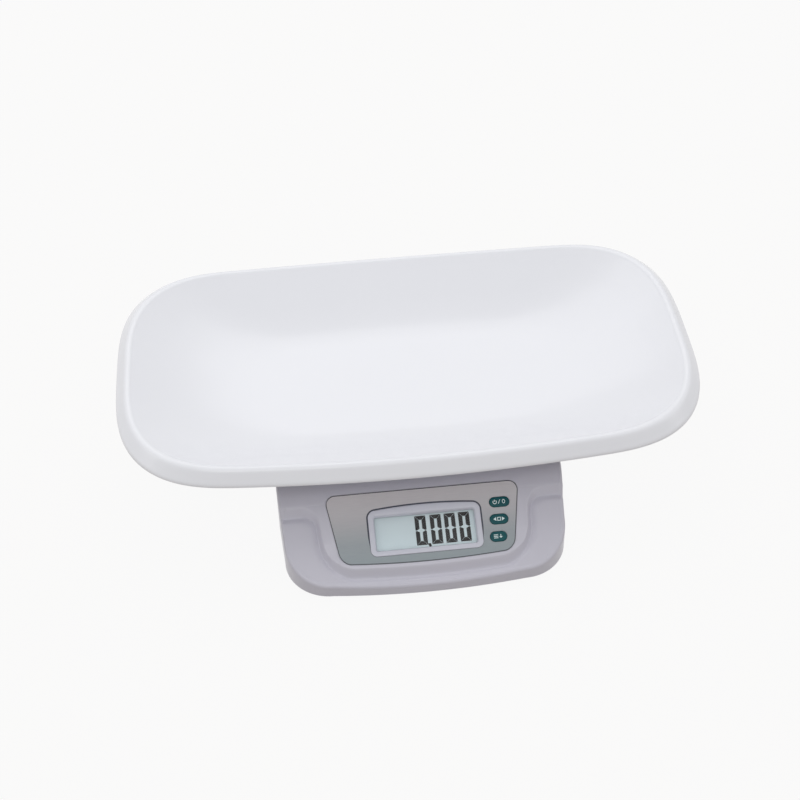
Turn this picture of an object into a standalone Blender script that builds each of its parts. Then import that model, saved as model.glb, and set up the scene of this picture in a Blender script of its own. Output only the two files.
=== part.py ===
"""Digital baby weighing scale: a curved tray on a low base with a sloping display panel.

Metres, +Z up, +X along the tray, the display panel faces -Y. The origin lies on the
floor below the middle of the whole scale.
"""
import math

import bpy
import bmesh
import numpy as np
from mathutils import Vector

MM = 0.001
GAP = 0.3 * MM
OVERRUN = 1.0 * MM
LEVEL_TOLERANCE = 0.01 * MM

# Tray
TRAY_LENGTH = 550 * MM
TRAY_DEPTH = 300 * MM
TRAY_WALL = 3.0 * MM
TRAY_CREST_Z = 115 * MM
TRAY_FLOOR_Z = 70 * MM
TRAY_END_RISE = 5.0 * MM
LIP_REACH = 14 * MM
SKIRT_DROP = 13 * MM
LIP_ROLL = 9 * MM
LONG_WALL_FOOT = 90 * MM
LONG_WALL_FILLET = 5.0 * MM
END_CURVE_START = 128 * MM
END_CURVE_POWER = 1.8
RIM_SQUARENESS = 4.5
FLOOR_SQUARENESS = 3.4
TRAY_COLUMNS = 52
SKIRT_LINES = ((0, 1), (0.04, 0.5), (0.16, 0.29), (0.42, 0.09), (0.8, 0))
WALL_LEVELS = (0.97, 0.88, 0.7, 0.48, 0.3, 0.16, 0.08, 0.02)
FLOOR_SHARE = 0.8

# Base housing in plan, measured from the tray's centre
BASE_REACH = 56 * MM
BASE_HALF_WIDTH = 133 * MM
BASE_FRONT_HALF_WIDTH = 130 * MM
BASE_REAR = 100 * MM
BASE_FRONT_BOW = 5.0 * MM
BASE_FRONT_CORNER = 38 * MM
BASE_REAR_CORNER = 26 * MM
CASE_WALL = 2.5 * MM
CASE_EDGE_RADIUS = 3.5 * MM
CASE_DRAFT = 0.5 * MM
BROW_ANGLES = (0, 45, 90)
FLOOR_ROUND_SHARE = 0.3

# Base housing heights
FOOT_HEIGHT = 4.0 * MM
SKIRT_BOTTOM_Z = 5.0 * MM
DECK_Z = 57 * MM
RIDGE_Z = 64 * MM
RIDGE_BACK_SHARE = 0.29
RIDGE_WIDTH = 14 * MM
RIDGE_SOFTNESS = 5.0 * MM

# Display panel: a plane that rises backwards from its lower edge
PANEL_ANGLE = math.radians(26)
PANEL_FOOT_SETBACK = 8.0 * MM
PANEL_FOOT_Z = 24 * MM
STEP_HEIGHT = 5.0 * MM
STEP_WIDTH = 7.5 * MM
STEP_LINES = (0.5, 0.2, -0.2, -0.5)
RING_INSET = 0.8 * MM
SHOULDER_UP = 63 * MM
SHOULDER_RADIUS = 16 * MM
TONGUE_HALF_WIDTH = 99 * MM
TONGUE_BOTTOM_HALF_WIDTH = 93 * MM
TONGUE_BOTTOM_UP = 0.5 * MM
TONGUE_CORNER = 26 * MM
TONGUE_BOW = 4.0 * MM

# Label plate in its recess
LABEL_TOP_UP = 78.5 * MM
LABEL_BOTTOM_UP = 13.4 * MM
LABEL_TOP_HALF_WIDTH = 90.5 * MM
LABEL_BOTTOM_HALF_WIDTH = 79.5 * MM
LABEL_CORNER = 9.0 * MM
LABEL_BOW = 3.4 * MM
LABEL_THICKNESS = 0.5 * MM
LABEL_RECESS = LABEL_THICKNESS + GAP

# Display window and its raised frame
WINDOW_WIDTH = 92 * MM
WINDOW_HEIGHT = 31 * MM
WINDOW_CENTRE_UP = 39 * MM
WINDOW_CORNER = 1.5 * MM
FRAME_SIDE = 8.0 * MM
FRAME_TOP = 7.0 * MM
FRAME_BOTTOM = 5.5 * MM
FRAME_ARCH = 3.0 * MM
FRAME_CORNER = 7.0 * MM
FRAME_PROUD = 1.0 * MM
LENS_THICKNESS = 1.0 * MM
LENS_OVERLAP = 2.0 * MM
GLASS_THICKNESS = 2.8 * MM
HOLDER_WALL = 2.0 * MM
HOLDER_LIP = 1.5 * MM
STRIP_WIDTH = 2.5 * MM
STRIP_HEIGHT = 4.4 * MM

# Circuit board and its parts
BOARD_MARGIN = 15.6 * MM
BOARD_HEIGHT = 58 * MM
BOARD_CENTRE_UP = 40 * MM
BOARD_THICKNESS = 1.6 * MM
BOARD_SCREW_INSET = 5.0 * MM
BOARD_BOSS_RADIUS = 3.2 * MM
SWITCH_SIZE = 6.0 * MM
SWITCH_HEIGHT = 3.5 * MM
SWITCH_PLUNGER_RADIUS = 1.7 * MM
SWITCH_PLUNGER_HEIGHT = 1.5 * MM
BUZZER_RADIUS = 6.0 * MM
BUZZER_HEIGHT = 5.5 * MM

# Push buttons, from the upper one to the lower one
BUTTON_NAMES = ("button_zero", "button_mode", "button_memory")
BUTTON_WIDTHS = (20.5 * MM, 18.2 * MM, 16.0 * MM)
BUTTON_X = (70.4 * MM, 68.2 * MM, 65.8 * MM)
BUTTON_TOP_UP = 58.7 * MM
BUTTON_PITCH = 16.1 * MM
BUTTON_HEIGHT = 10.4 * MM
BUTTON_PROUD = 0.8 * MM
BUTTON_TRAVEL = 0.8 * MM
BUTTON_FLANGE = 1.2 * MM
BUTTON_FLANGE_THICKNESS = 1.5 * MM
BUTTON_STEM_RADIUS = 1.6 * MM
BUTTON_EDGE = 0.5 * MM

# Load cell and what carries it
CELL_LENGTH = 130 * MM
CELL_WIDTH = 30 * MM
CELL_HEIGHT = 22 * MM
CELL_HOLE_RADIUS = 8.0 * MM
CELL_HOLE_SPACING = 26 * MM
CELL_SLOT = 5.0 * MM
CELL_BOLT_SPACING = 18 * MM
CELL_BOLT_INSET = 8.0 * MM
SPACER_LENGTH = 34 * MM
LOWER_SPACER_HEIGHT = 3.0 * MM
UPPER_SPACER_HEIGHT = 6.0 * MM
PLATE_LENGTH = 158 * MM
PLATE_WIDTH = 58 * MM
PLATE_THICKNESS = 3.0 * MM
PLATE_SCREW_INSET = 6.0 * MM
PLATE_BOSS_RADIUS = 4.5 * MM
PLATE_BOSS_HEIGHT = 5.2 * MM
STOP_CLEARANCE = 0.6 * MM

# Fasteners
BOLT_RADIUS = 2.5 * MM
BOLT_HEAD_RADIUS = 4.5 * MM
BOLT_HEAD_HEIGHT = 3.0 * MM
SCREW_RADIUS = 1.3 * MM
SCREW_HEAD_RADIUS = 2.7 * MM
SCREW_HEAD_HEIGHT = 1.8 * MM
BOARD_SCREW_LENGTH = 7.0 * MM
PLATE_SCREW_LENGTH = 7.0 * MM
CASE_SCREW_LENGTH = 16 * MM
CELL_BOLT_BITE = 9.0 * MM
TIP_SHARE = 0.8
HOLE_CLEARANCE = 0.4 * MM
SCREW_STEPS = 8
BOLT_STEPS = 12
ROUND_STEPS = 12

# Case screws: bosses near the corners
CASE_BOSS_RADIUS = 4.2 * MM
CASE_POST_RADIUS = 5.6 * MM
CASE_POST_HEIGHT = 5.7 * MM
CASE_BOSS_SETBACK = 22 * MM
CASE_BOSS_FRONT_SETBACK = 70 * MM

# Tray carrier
CARRIER_LENGTH = 216 * MM
CARRIER_WIDTH = 136 * MM
CARRIER_THICKNESS = 3.0 * MM
CARRIER_CORNER = 16 * MM
CARRIER_RIM_DROP = 2.2 * MM
CARRIER_DECK_GAP = 2.0 * MM
CARRIER_SOCKET_X = 84 * MM
CARRIER_SOCKET_Y = 46 * MM
CARRIER_RIB_THICKNESS = 2.2 * MM
STUD_RADIUS = 4.0 * MM
STUD_LENGTH = 6.5 * MM
STUD_CLEARANCE = 0.5 * MM
PAD_RADIUS = 8.0 * MM
PAD_X = 62 * MM
PAD_SEAT = 1.0 * MM
HUB_CLEARANCE = 4.5 * MM
HUB_OPENING_CORNER = 5.0 * MM

# Feet
FOOT_RADIUS = 9.0 * MM
FOOT_PEG_RADIUS = 2.4 * MM
FOOT_BEAD = 0.8 * MM
FOOT_SIDE_SETBACK = 26 * MM
FOOT_SETBACK = 38 * MM

# Battery compartment and its door
CELL_RADIUS = 7.1 * MM
CELL_BODY_LENGTH = 49.0 * MM
CELL_TIP_RADIUS = 2.7 * MM
CELL_TIP_LENGTH = 1.3 * MM
CELL_PITCH = 15.4 * MM
COMPARTMENT_Y = 58 * MM
COMPARTMENT_WALL = 1.8 * MM
CONTACT_ROOM = 4.0 * MM
CONTACT_THICKNESS = 0.6 * MM
CONTACT_SPRING_RADIUS = 3.0 * MM
DOOR_THICKNESS = 1.7 * MM
DOOR_OVERLAP = 4.0 * MM
DOOR_TRAVEL = 7.0 * MM
DOOR_TONGUE_WIDTH = 12 * MM
DOOR_TONGUE_X = 36 * MM
DOOR_TONGUE_REACH = 3.5 * MM
DOOR_TONGUE_THICKNESS = 1.2 * MM
DOOR_GRIPS = 4
DOOR_GRIP_WIDTH = 1.5 * MM
DOOR_GRIP_DEPTH = 0.5 * MM

# Leads inside the base
LEAD_RADIUS = 1.4 * MM
LEAD_SPACING = 8.0 * MM

# Places that follow from the sizes above, measured from the tray's centre
BASE_FRONT = -(TRAY_DEPTH / 2 + BASE_REACH)
CASE_FLOOR_Z = FOOT_HEIGHT
FLOOR_TOP_Z = CASE_FLOOR_Z + CASE_WALL
PANEL_FOOT_Y = BASE_FRONT + PANEL_FOOT_SETBACK
CASE_BOSS_X = BASE_FRONT_HALF_WIDTH - CASE_BOSS_SETBACK
CASE_BOSS_FRONT = BASE_FRONT + CASE_BOSS_FRONT_SETBACK
CASE_BOSS_REAR = BASE_REAR - CASE_BOSS_SETBACK
FOOT_X = BASE_FRONT_HALF_WIDTH - FOOT_SIDE_SETBACK
FOOT_FRONT = BASE_FRONT + FOOT_SETBACK
FOOT_REAR = BASE_REAR - FOOT_SETBACK
BOARD_WIDTH = 2 * (BUTTON_X[0] + BOARD_MARGIN)
PLATE_Z = FLOOR_TOP_Z + PLATE_BOSS_HEIGHT + GAP
LOWER_SPACER_Z = PLATE_Z + PLATE_THICKNESS + GAP
CELL_Z = LOWER_SPACER_Z + LOWER_SPACER_HEIGHT + GAP
UPPER_SPACER_Z = CELL_Z + CELL_HEIGHT + GAP
HUB_BOTTOM_Z = UPPER_SPACER_Z + UPPER_SPACER_HEIGHT + GAP
TRAY_UNDER_Z = TRAY_FLOOR_Z - TRAY_WALL
CARRIER_Z = DECK_Z + CARRIER_DECK_GAP
CARRIER_TOP_Z = CARRIER_Z + CARRIER_THICKNESS
SPACER_X = (CELL_LENGTH - SPACER_LENGTH) / 2
BOARD_TOP = -(CASE_WALL + GAP + LENS_THICKNESS + GAP + GLASS_THICKNESS + GAP + STRIP_HEIGHT + GAP)
BATTERY_Z = FLOOR_TOP_Z + GAP + DOOR_TONGUE_THICKNESS + GAP + CELL_RADIUS
RIDGE_Y = PANEL_FOOT_Y + (RIDGE_Z - PANEL_FOOT_Z) / math.tan(PANEL_ANGLE)

# Fewest points that keep each kind of round smooth
CORNER_STEPS = 4
HOLE_CORNER_STEPS = 2
CYLINDER_SIDES = 14
HEXAGON = 6
STUB_SIDES = 8
SENSING_HOLE_SIDES = 24
FRONT_STEPS = 6
SIDE_STEPS = 2
HOLLOW_STEPS = 4
SHOULDER_STEPS = 2
ABOVE_STEP_STEPS = 2
RIDGE_STEPS = 6
DECK_STEPS = 2
REAR_STEPS = 2

for old_object in list(bpy.data.objects):
    bpy.data.objects.remove(old_object, do_unlink=True)

parts = bpy.data.collections.new("baby_scale")
tools = bpy.data.collections.new("cutters")
bpy.context.scene.collection.children.link(parts)
bpy.context.scene.collection.children.link(tools)


# Materials

def material(name, colour, roughness, metallic=0.0, alpha=1.0):
    """A Principled material of one colour."""
    made = bpy.data.materials.new(name)
    made.use_nodes = True
    shader = made.node_tree.nodes["Principled BSDF"]
    shader.inputs["Base Color"].default_value = (*colour, 1.0)
    shader.inputs["Roughness"].default_value = roughness
    shader.inputs["Metallic"].default_value = metallic
    shader.inputs["Alpha"].default_value = alpha
    return made


TRAY_WHITE = material("tray_white", (0.84, 0.85, 0.87), 0.22)
CASE_LAVENDER = material("case_lavender", (0.60, 0.59, 0.66), 0.32)
LABEL_SILVER = material("label_silver", (0.42, 0.43, 0.43), 0.38, 0.4)
BUTTON_TEAL = material("button_teal", (0.02, 0.11, 0.13), 0.45)
LCD_GREY = material("lcd_grey", (0.52, 0.62, 0.64), 0.2)
CLEAR = material("clear_window", (0.9, 0.95, 0.95), 0.05, alpha=0.3)
HOLDER_WHITE = material("holder_white", (0.75, 0.75, 0.73), 0.5)
BOARD_GREEN = material("board_green", (0.03, 0.22, 0.08), 0.45)
BLACK_PLASTIC = material("black_plastic", (0.02, 0.02, 0.02), 0.5)
RUBBER_GREY = material("rubber_grey", (0.16, 0.16, 0.17), 0.8)
SOFT_STRIP = material("soft_strip", (0.75, 0.45, 0.4), 0.7)
STEEL = material("steel", (0.55, 0.56, 0.57), 0.3, 1.0)
ALUMINIUM = material("aluminium", (0.68, 0.69, 0.7), 0.4, 1.0)
CONTACT_STEEL = material("contact_steel", (0.72, 0.71, 0.66), 0.25, 1.0)
BATTERY_WRAP = material("battery_wrap", (0.10, 0.12, 0.16), 0.4, 0.3)
LEAD_GREY = material("lead_grey", (0.22, 0.22, 0.24), 0.6)


SIDES = ((-1, "left"), (1, "right"))


# Frames that carry the pieces

def frame(name, location, parent=None, tilt=0.0):
    """An empty that carries pieces, turned about X by the tilt."""
    empty = bpy.data.objects.new(name, None)
    empty.location = location
    empty.rotation_euler = (tilt, 0.0, 0.0)
    empty.parent = parent
    parts.objects.link(empty)
    return empty


tray_centre = frame("tray_centre", (0, BASE_REACH / 2, 0))
panel_frame = frame("panel_frame", (0, PANEL_FOOT_Y, PANEL_FOOT_Z), tray_centre, PANEL_ANGLE)


def panel_point(x, up, out):
    """A point of the panel frame, measured from the tray's centre."""
    return Vector((
        x,
        PANEL_FOOT_Y + up * math.cos(PANEL_ANGLE) - out * math.sin(PANEL_ANGLE),
        PANEL_FOOT_Z + up * math.sin(PANEL_ANGLE) + out * math.cos(PANEL_ANGLE),
    ))


# Building blocks

def place(name, mesh, owner=tray_centre, paint=None, location=(0, 0, 0)):
    """An object in the parts collection, or among the cutters where it has no paint."""
    made = bpy.data.objects.new(name, mesh)
    made.location = location
    made.parent = owner
    if paint is None:
        tools.objects.link(made)
        made.hide_render = True
        made.display_type = "WIRE"
    else:
        parts.objects.link(made)
        mesh.materials.append(paint)
    return made


def mesh_of(shape, name):
    """The mesh of a bmesh, with outward faces and smooth rounds."""
    mesh = bpy.data.meshes.new(name)
    shape.to_mesh(mesh)
    shape.free()
    mesh.shade_smooth()
    mesh.set_sharp_from_angle(angle=math.radians(35))
    return mesh


def box(name, low, high, **where):
    """A box between two corners."""
    shape = bmesh.new()
    bmesh.ops.create_cube(shape, size=1.0)
    size = Vector(high) - Vector(low)
    bmesh.ops.scale(shape, vec=size, verts=shape.verts)
    bmesh.ops.translate(shape, vec=(Vector(high) + Vector(low)) / 2, verts=shape.verts)
    return place(name, mesh_of(shape, name), **where)


def cylinder(name, radius, low, high, at=(0, 0), top_radius=None, sides=CYLINDER_SIDES, **where):
    """An upright cylinder or cone between two heights."""
    shape = bmesh.new()
    bmesh.ops.create_cone(
        shape, cap_ends=True, segments=sides, radius1=radius,
        radius2=radius if top_radius is None else top_radius, depth=high - low,
    )
    bmesh.ops.translate(shape, vec=(at[0], at[1], (low + high) / 2), verts=shape.verts)
    return place(name, mesh_of(shape, name), **where)


def stub(name, radius, low, high, **where):
    """A small cylinder, such as a bore, a boss or a peg, with few sides."""
    return cylinder(name, radius, low, high, sides=STUB_SIDES, **where)


def turned(name, profile, steps=SCREW_STEPS, **where):
    """A profile of (radius, height) points, from the top down, turned round Z."""
    shape = bmesh.new()
    points = [shape.verts.new((radius, 0, height)) for radius, height in profile]
    for upper, lower in zip(points, points[1:]):
        shape.edges.new((upper, lower))
    made = place(name, mesh_of(shape, name), **where)
    screw = made.modifiers.new("turn", "SCREW")
    screw.steps = steps
    screw.render_steps = steps
    screw.use_merge_vertices = True
    screw.merge_threshold = 0.0001
    screw.use_smooth_shade = True
    return made


def slab(name, outline, low, high, **where):
    """A flat outline as a filled curve, extruded between two heights and made a mesh."""
    curve = bpy.data.curves.new(name, "CURVE")
    curve.dimensions = "2D"
    curve.fill_mode = "BOTH"
    curve.extrude = (high - low) / 2
    spline = curve.splines.new("POLY")
    spline.points.add(len(outline) - 1)
    for point, (x, y) in zip(spline.points, outline):
        point.co = (x, y, 0, 1)
    spline.use_cyclic_u = True
    drawn = bpy.data.objects.new(name + "_curve", curve)
    tools.objects.link(drawn)
    bpy.context.view_layer.update()
    flat = bpy.data.meshes.new_from_object(drawn.evaluated_get(bpy.context.evaluated_depsgraph_get()))
    bpy.data.objects.remove(drawn, do_unlink=True)
    shape = bmesh.new()
    shape.from_mesh(flat)
    bmesh.ops.remove_doubles(shape, verts=shape.verts, dist=0.00001)
    bmesh.ops.dissolve_limit(shape, angle_limit=math.radians(0.1), verts=shape.verts, edges=shape.edges)
    bmesh.ops.translate(shape, vec=(0, 0, (low + high) / 2), verts=shape.verts)
    bmesh.ops.recalc_face_normals(shape, faces=shape.faces)
    return place(name, mesh_of(shape, name), **where)


def loft(name, rings, fill, flip=False, **where):
    """An open surface through closed rings of equal counts, closed at its last ring by fill."""
    shape = bmesh.new()
    rows = [[shape.verts.new(point) for point in ring] for ring in rings]
    count = len(rows[0])
    for lower, upper in zip(rows, rows[1:]):
        for i in range(count):
            j = (i + 1) % count
            shape.faces.new((lower[i], lower[j], upper[j], upper[i]))
    fill(shape, rows[-1])
    if flip:
        bmesh.ops.reverse_faces(shape, faces=shape.faces)
    return place(name, mesh_of(shape, name), **where)


def fill_flat(shape, ring):
    """One face over a flat ring."""
    shape.faces.new(ring)


def fill_across(shape, ring):
    """Strips from side to side, for a mirrored ring that starts at its front middle.

    Points that lie level with each other across the base share one strip's edge.
    """
    half = len(ring) // 2

    def level(i, j):
        return abs(ring[i].co.y - ring[j].co.y) < LEVEL_TOLERANCE

    for i in range(half):
        if level(i, i + 1):
            continue
        first = i
        while first > 0 and level(first - 1, i):
            first -= 1
        last = half if level(i + 1, half) else i + 1
        right = list(range(first, last + 1))
        left = [-k for k in reversed(right) if k not in (0, half)]
        shape.faces.new([ring[k] for k in right + left])


def shell(made, thickness):
    """Gives an open surface its wall, on the side away from its normals."""
    wall = made.modifiers.new("wall", "SOLIDIFY")
    wall.thickness = thickness
    wall.offset = -1.0
    wall.use_even_offset = True


def boolean(made, tool, operation):
    """Adds a Boolean with the exact solver."""
    step = made.modifiers.new(tool.name, "BOOLEAN")
    step.operation = operation
    step.object = tool
    step.solver = "EXACT"


def cut(made, *cutters):
    for cutter in cutters:
        boolean(made, cutter, "DIFFERENCE")


def fuse(made, *pieces):
    for piece in pieces:
        boolean(made, piece, "UNION")


def bevel(made, width):
    """Rounds the sharp edges of a plain solid."""
    edge = made.modifiers.new("rounding", "BEVEL")
    edge.width = width
    edge.segments = 1
    edge.limit_method = "ANGLE"
    edge.angle_limit = math.radians(40)


# Outlines

def arc(centre, radius, start, end, steps=CORNER_STEPS):
    """Points on an arc, both ends included, angles in degrees."""
    angles = np.radians(np.linspace(start, end, steps + 1))
    return [(centre[0] + radius * math.cos(a), centre[1] + radius * math.sin(a)) for a in angles]


def rounded(corners, radii, steps=CORNER_STEPS):
    """A polygon whose corners are arcs; a corner of radius zero stays a point."""
    outline = []
    for i, (corner, radius) in enumerate(zip(corners, radii)):
        here = Vector(corner)
        before = (Vector(corners[i - 1]) - here).normalized()
        after = (Vector(corners[(i + 1) % len(corners)]) - here).normalized()
        if radius == 0:
            outline.append(tuple(here))
            continue
        half_angle = before.angle(after) / 2
        centre = here + (before + after).normalized() * (radius / math.sin(half_angle))
        first = here + before * (radius / math.tan(half_angle)) - centre
        last = here + after * (radius / math.tan(half_angle)) - centre
        for share in np.linspace(0, 1, steps + 1):
            spoke = first.lerp(last, share).normalized() * radius
            outline.append(tuple(centre + spoke))
    return outline


def rectangle(width, height, radius, centre=(0, 0), steps=CORNER_STEPS):
    """A rounded rectangle, counterclockwise."""
    x, y = width / 2, height / 2
    corners = [(-x, -y), (x, -y), (x, y), (-x, y)]
    return [(centre[0] + a, centre[1] + b) for a, b in rounded(corners, [radius] * 4, steps)]


def pill(width, height, centre, steps=2 * CORNER_STEPS):
    """A slot with round ends, counterclockwise."""
    reach = (width - height) / 2
    right = arc((centre[0] + reach, centre[1]), height / 2, -90, 90, steps)
    left = arc((centre[0] - reach, centre[1]), height / 2, 90, 270, steps)
    return right + left


def bow(start, end, depth, count=FRONT_STEPS):
    """Points between two ends of a shallow bow, the ends left out."""
    shares = np.linspace(0, 1, count + 1)[1:-1]
    return [
        (start[0] + (end[0] - start[0]) * share,
         start[1] + (end[1] - start[1]) * share + 4 * depth * share * (1 - share))
        for share in shares
    ]


# Tray

def oval(half_length, half_width, squareness, height_at, columns=TRAY_COLUMNS):
    """A closed superellipse, with its points gathered towards its corners."""
    ring = []
    for turn in np.linspace(0, 2 * math.pi, columns, endpoint=False):
        along, across = math.cos(turn), math.sin(turn)
        x = half_length * math.copysign(abs(along) ** (2 / squareness), along)
        y = half_width * math.copysign(abs(across) ** (2 / squareness), across)
        ring.append((x, y, height_at(x)))
    return ring


def inner_half_length(height):
    """Where the tray's gently rising ends reach a height above its floor."""
    rise = TRAY_CREST_Z - TRAY_FLOOR_Z
    reach = TRAY_LENGTH / 2 - LIP_REACH - LIP_ROLL / 2 - END_CURVE_START
    return END_CURVE_START + reach * (height / rise) ** (1 / END_CURVE_POWER)


def inner_half_width(height):
    """Where the steep long walls, filleted at their foot, reach a height above the floor."""
    fillet = LONG_WALL_FILLET
    return LONG_WALL_FOOT + fillet * math.log(math.exp(height / fillet) - 1)


def tray_rings():
    """Rings from the skirt's lower edge over the lip and down to the floor."""
    rise = TRAY_CREST_Z - TRAY_FLOOR_Z
    rings = []
    for inward_share, drop_share in SKIRT_LINES:
        inward, drop = LIP_REACH * inward_share, -SKIRT_DROP * drop_share
        rings.append(oval(
            TRAY_LENGTH / 2 - inward, TRAY_DEPTH / 2 - inward, RIM_SQUARENESS,
            lambda x, drop=drop: TRAY_CREST_Z + drop + end_rise(x),
        ))
    for level_share in WALL_LEVELS:
        height = rise * level_share
        square = FLOOR_SQUARENESS + (RIM_SQUARENESS - FLOOR_SQUARENESS) * level_share
        rings.append(oval(
            inner_half_length(height), inner_half_width(height), square,
            lambda x, height=height, share=level_share: TRAY_FLOOR_Z + height + end_rise(x) * share,
        ))
    rings.append(oval(
        END_CURVE_START * FLOOR_SHARE, LONG_WALL_FOOT * FLOOR_SHARE, FLOOR_SQUARENESS,
        lambda x: TRAY_FLOOR_Z,
    ))
    return rings


def end_rise(x):
    """How much higher the rim lies towards the tray's ends."""
    return TRAY_END_RISE * (2 * x / TRAY_LENGTH) ** 2


def build_tray():
    tray = loft("tray", tray_rings(), fill_flat, paint=TRAY_WHITE)
    shell(tray, TRAY_WALL)
    for i, (x, y) in enumerate(corners_of(CARRIER_SOCKET_X, CARRIER_SOCKET_Y)):
        stud = stub(
            f"tray_stud_{i + 1}", STUD_RADIUS, TRAY_UNDER_Z - STUD_LENGTH,
            TRAY_UNDER_Z + TRAY_WALL / 2, at=(x, y),
        )
        fuse(tray, stud)


def corners_of(half_x, half_y):
    """The four corners of a rectangle about the tray's centre."""
    return [(-half_x, -half_y), (half_x, -half_y), (half_x, half_y), (-half_x, half_y)]


# Base housing: its plan outline and the heights of its upper surface

def smoothstep(share):
    held = min(max(share, 0.0), 1.0)
    return held * held * (3 - 2 * held)


def soft_minimum(a, b, softness):
    """The lower of two heights, with a round of the given softness where they cross."""
    mix = min(max(0.5 + 0.5 * (b - a) / softness, 0.0), 1.0)
    return b + (a - b) * mix - softness * mix * (1 - mix)


def up_to_y(up):
    """Plan position of a height along the panel's slope."""
    return PANEL_FOOT_Y + up * math.cos(PANEL_ANGLE)


def tongue_half_width(y):
    """Half width of the raised tongue, narrower towards its lower end."""
    low, high = up_to_y(TONGUE_BOTTOM_UP), up_to_y(SHOULDER_UP)
    share = (y - low) / (high - low)
    return TONGUE_BOTTOM_HALF_WIDTH + (TONGUE_HALF_WIDTH - TONGUE_BOTTOM_HALF_WIDTH) * share


def outside_raised(x, y):
    """Signed distance in plan to the edge of the raised area, negative inside it."""
    side = abs(x) - tongue_half_width(y)
    bottom = up_to_y(TONGUE_BOTTOM_UP) + TONGUE_BOW * (x / TONGUE_BOTTOM_HALF_WIDTH) ** 2 - y
    corner = math.hypot(max(TONGUE_CORNER + side, 0), max(TONGUE_CORNER + bottom, 0))
    tongue = min(-TONGUE_CORNER, max(side, bottom)) + corner
    upper = up_to_y(SHOULDER_UP) - y
    hollow = math.hypot(max(SHOULDER_RADIUS - tongue, 0), max(SHOULDER_RADIUS - upper, 0))
    return max(SHOULDER_RADIUS, min(tongue, upper)) - hollow


def top_height(x, y):
    """Height of the base's upper surface: sloping panel, soft ridge, then the flat deck."""
    slope = PANEL_FOOT_Z + (y - PANEL_FOOT_Y) * math.tan(PANEL_ANGLE)
    height = soft_minimum(slope, RIDGE_Z, RIDGE_SOFTNESS)
    behind = (y - RIDGE_Y - RIDGE_WIDTH * RIDGE_BACK_SHARE) / RIDGE_WIDTH
    height -= (RIDGE_Z - DECK_Z) * smoothstep(behind)
    step = smoothstep(outside_raised(x, y) / STEP_WIDTH + 0.5)
    return height - step * STEP_HEIGHT / math.cos(PANEL_ANGLE)


def side_half_width(y, inset):
    """Half width of the base's straight sides, which draw in towards the front."""
    share = (y - BASE_FRONT) / (BASE_REAR - BASE_FRONT)
    return BASE_FRONT_HALF_WIDTH + (BASE_HALF_WIDTH - BASE_FRONT_HALF_WIDTH) * share - inset


def run(start, end, count):
    """Evenly spaced values, the first one left out."""
    return list(np.linspace(start, end, count + 1)[1:])


def mirrored(half):
    """A closed ring from its right half, which starts and ends on the middle line."""
    return half + [(-x, y) for x, y in reversed(half[1:-1])]


def rear_corner(inset):
    """The outline's right rear corner."""
    corner = BASE_REAR_CORNER - inset
    centre_y = BASE_REAR - BASE_REAR_CORNER
    return arc((side_half_width(centre_y, inset) - corner, centre_y), corner, 0, 90)


def half_rear(inset):
    """The base's outline from just above the step along the right side to the rear middle."""
    above_step = up_to_y(SHOULDER_UP) + STEP_WIDTH * 0.6
    ridge_start = RIDGE_Y - RIDGE_WIDTH / 2
    stations = [above_step] + run(above_step, ridge_start, ABOVE_STEP_STEPS)
    stations += run(ridge_start, RIDGE_Y + RIDGE_WIDTH * (1 + RIDGE_BACK_SHARE), RIDGE_STEPS)
    stations += run(stations[-1], BASE_REAR - BASE_REAR_CORNER, DECK_STEPS)[:-1]
    points = [(side_half_width(y, inset), y) for y in stations] + rear_corner(inset)
    return points + [(x, BASE_REAR - inset) for x in run(points[-1][0], 0, REAR_STEPS)]


def half_front(inset):
    """The outline's bowed front and its corner, from the front middle to the right side."""
    corner = BASE_FRONT_CORNER - inset
    centre_y = BASE_FRONT + BASE_FRONT_BOW + BASE_FRONT_CORNER
    centre = (side_half_width(centre_y, inset) - corner, centre_y)
    points = []
    for x in np.linspace(0, centre[0], FRONT_STEPS + 1)[:-1]:
        points.append((x, BASE_FRONT + inset + BASE_FRONT_BOW * (x / centre[0]) ** 2))
    return points + arc(centre, corner, -90, 0)


def plain_ring(inset):
    """The base's outline in plan, drawn in by an inset, with straight sides."""
    return mirrored(half_front(inset) + rear_corner(inset) + [(0, BASE_REAR - inset)])


def outline_ring(inset):
    """The base's outline with the stations along its sides that its upper surface needs."""
    points = half_front(inset)
    step_foot = up_to_y(SHOULDER_UP) - STEP_WIDTH / 2
    for y in run(points[-1][1], step_foot, SIDE_STEPS + HOLLOW_STEPS + SHOULDER_STEPS):
        points.append((side_half_width(y, inset), y))
    return mirrored(points + half_rear(inset))


def tongue_ring(outward, inset):
    """A line along the raised area's step, moved outward from its middle."""
    corner = TONGUE_CORNER + outward
    hollow = SHOULDER_RADIUS - outward
    bottom = up_to_y(TONGUE_BOTTOM_UP) - outward
    centre_y = bottom + TONGUE_BOW + corner
    centre = (tongue_half_width(centre_y) + outward - corner, centre_y)
    points = []
    for x in np.linspace(0, centre[0], FRONT_STEPS + 1)[:-1]:
        points.append((x, bottom + TONGUE_BOW * (x / centre[0]) ** 2))
    points += arc(centre, corner, -90, 0)
    shoulder = up_to_y(SHOULDER_UP) - outward
    hollow_y = shoulder - hollow
    for y in run(centre_y, hollow_y, SIDE_STEPS):
        points.append((tongue_half_width(y) + outward, y))
    hollow_centre = (tongue_half_width(hollow_y) + outward + hollow, hollow_y)
    points += arc(hollow_centre, hollow, 180, 90, HOLLOW_STEPS)[1:]
    for x in run(hollow_centre[0], side_half_width(shoulder, inset), SHOULDER_STEPS):
        points.append((x, shoulder))
    return mirrored(points + half_rear(inset))


def on_top(ring, drop=0.0):
    """Lifts a plan ring onto the upper surface, or a drop below it."""
    return [(x, y, top_height(x, y) - drop) for x, y in ring]


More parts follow.
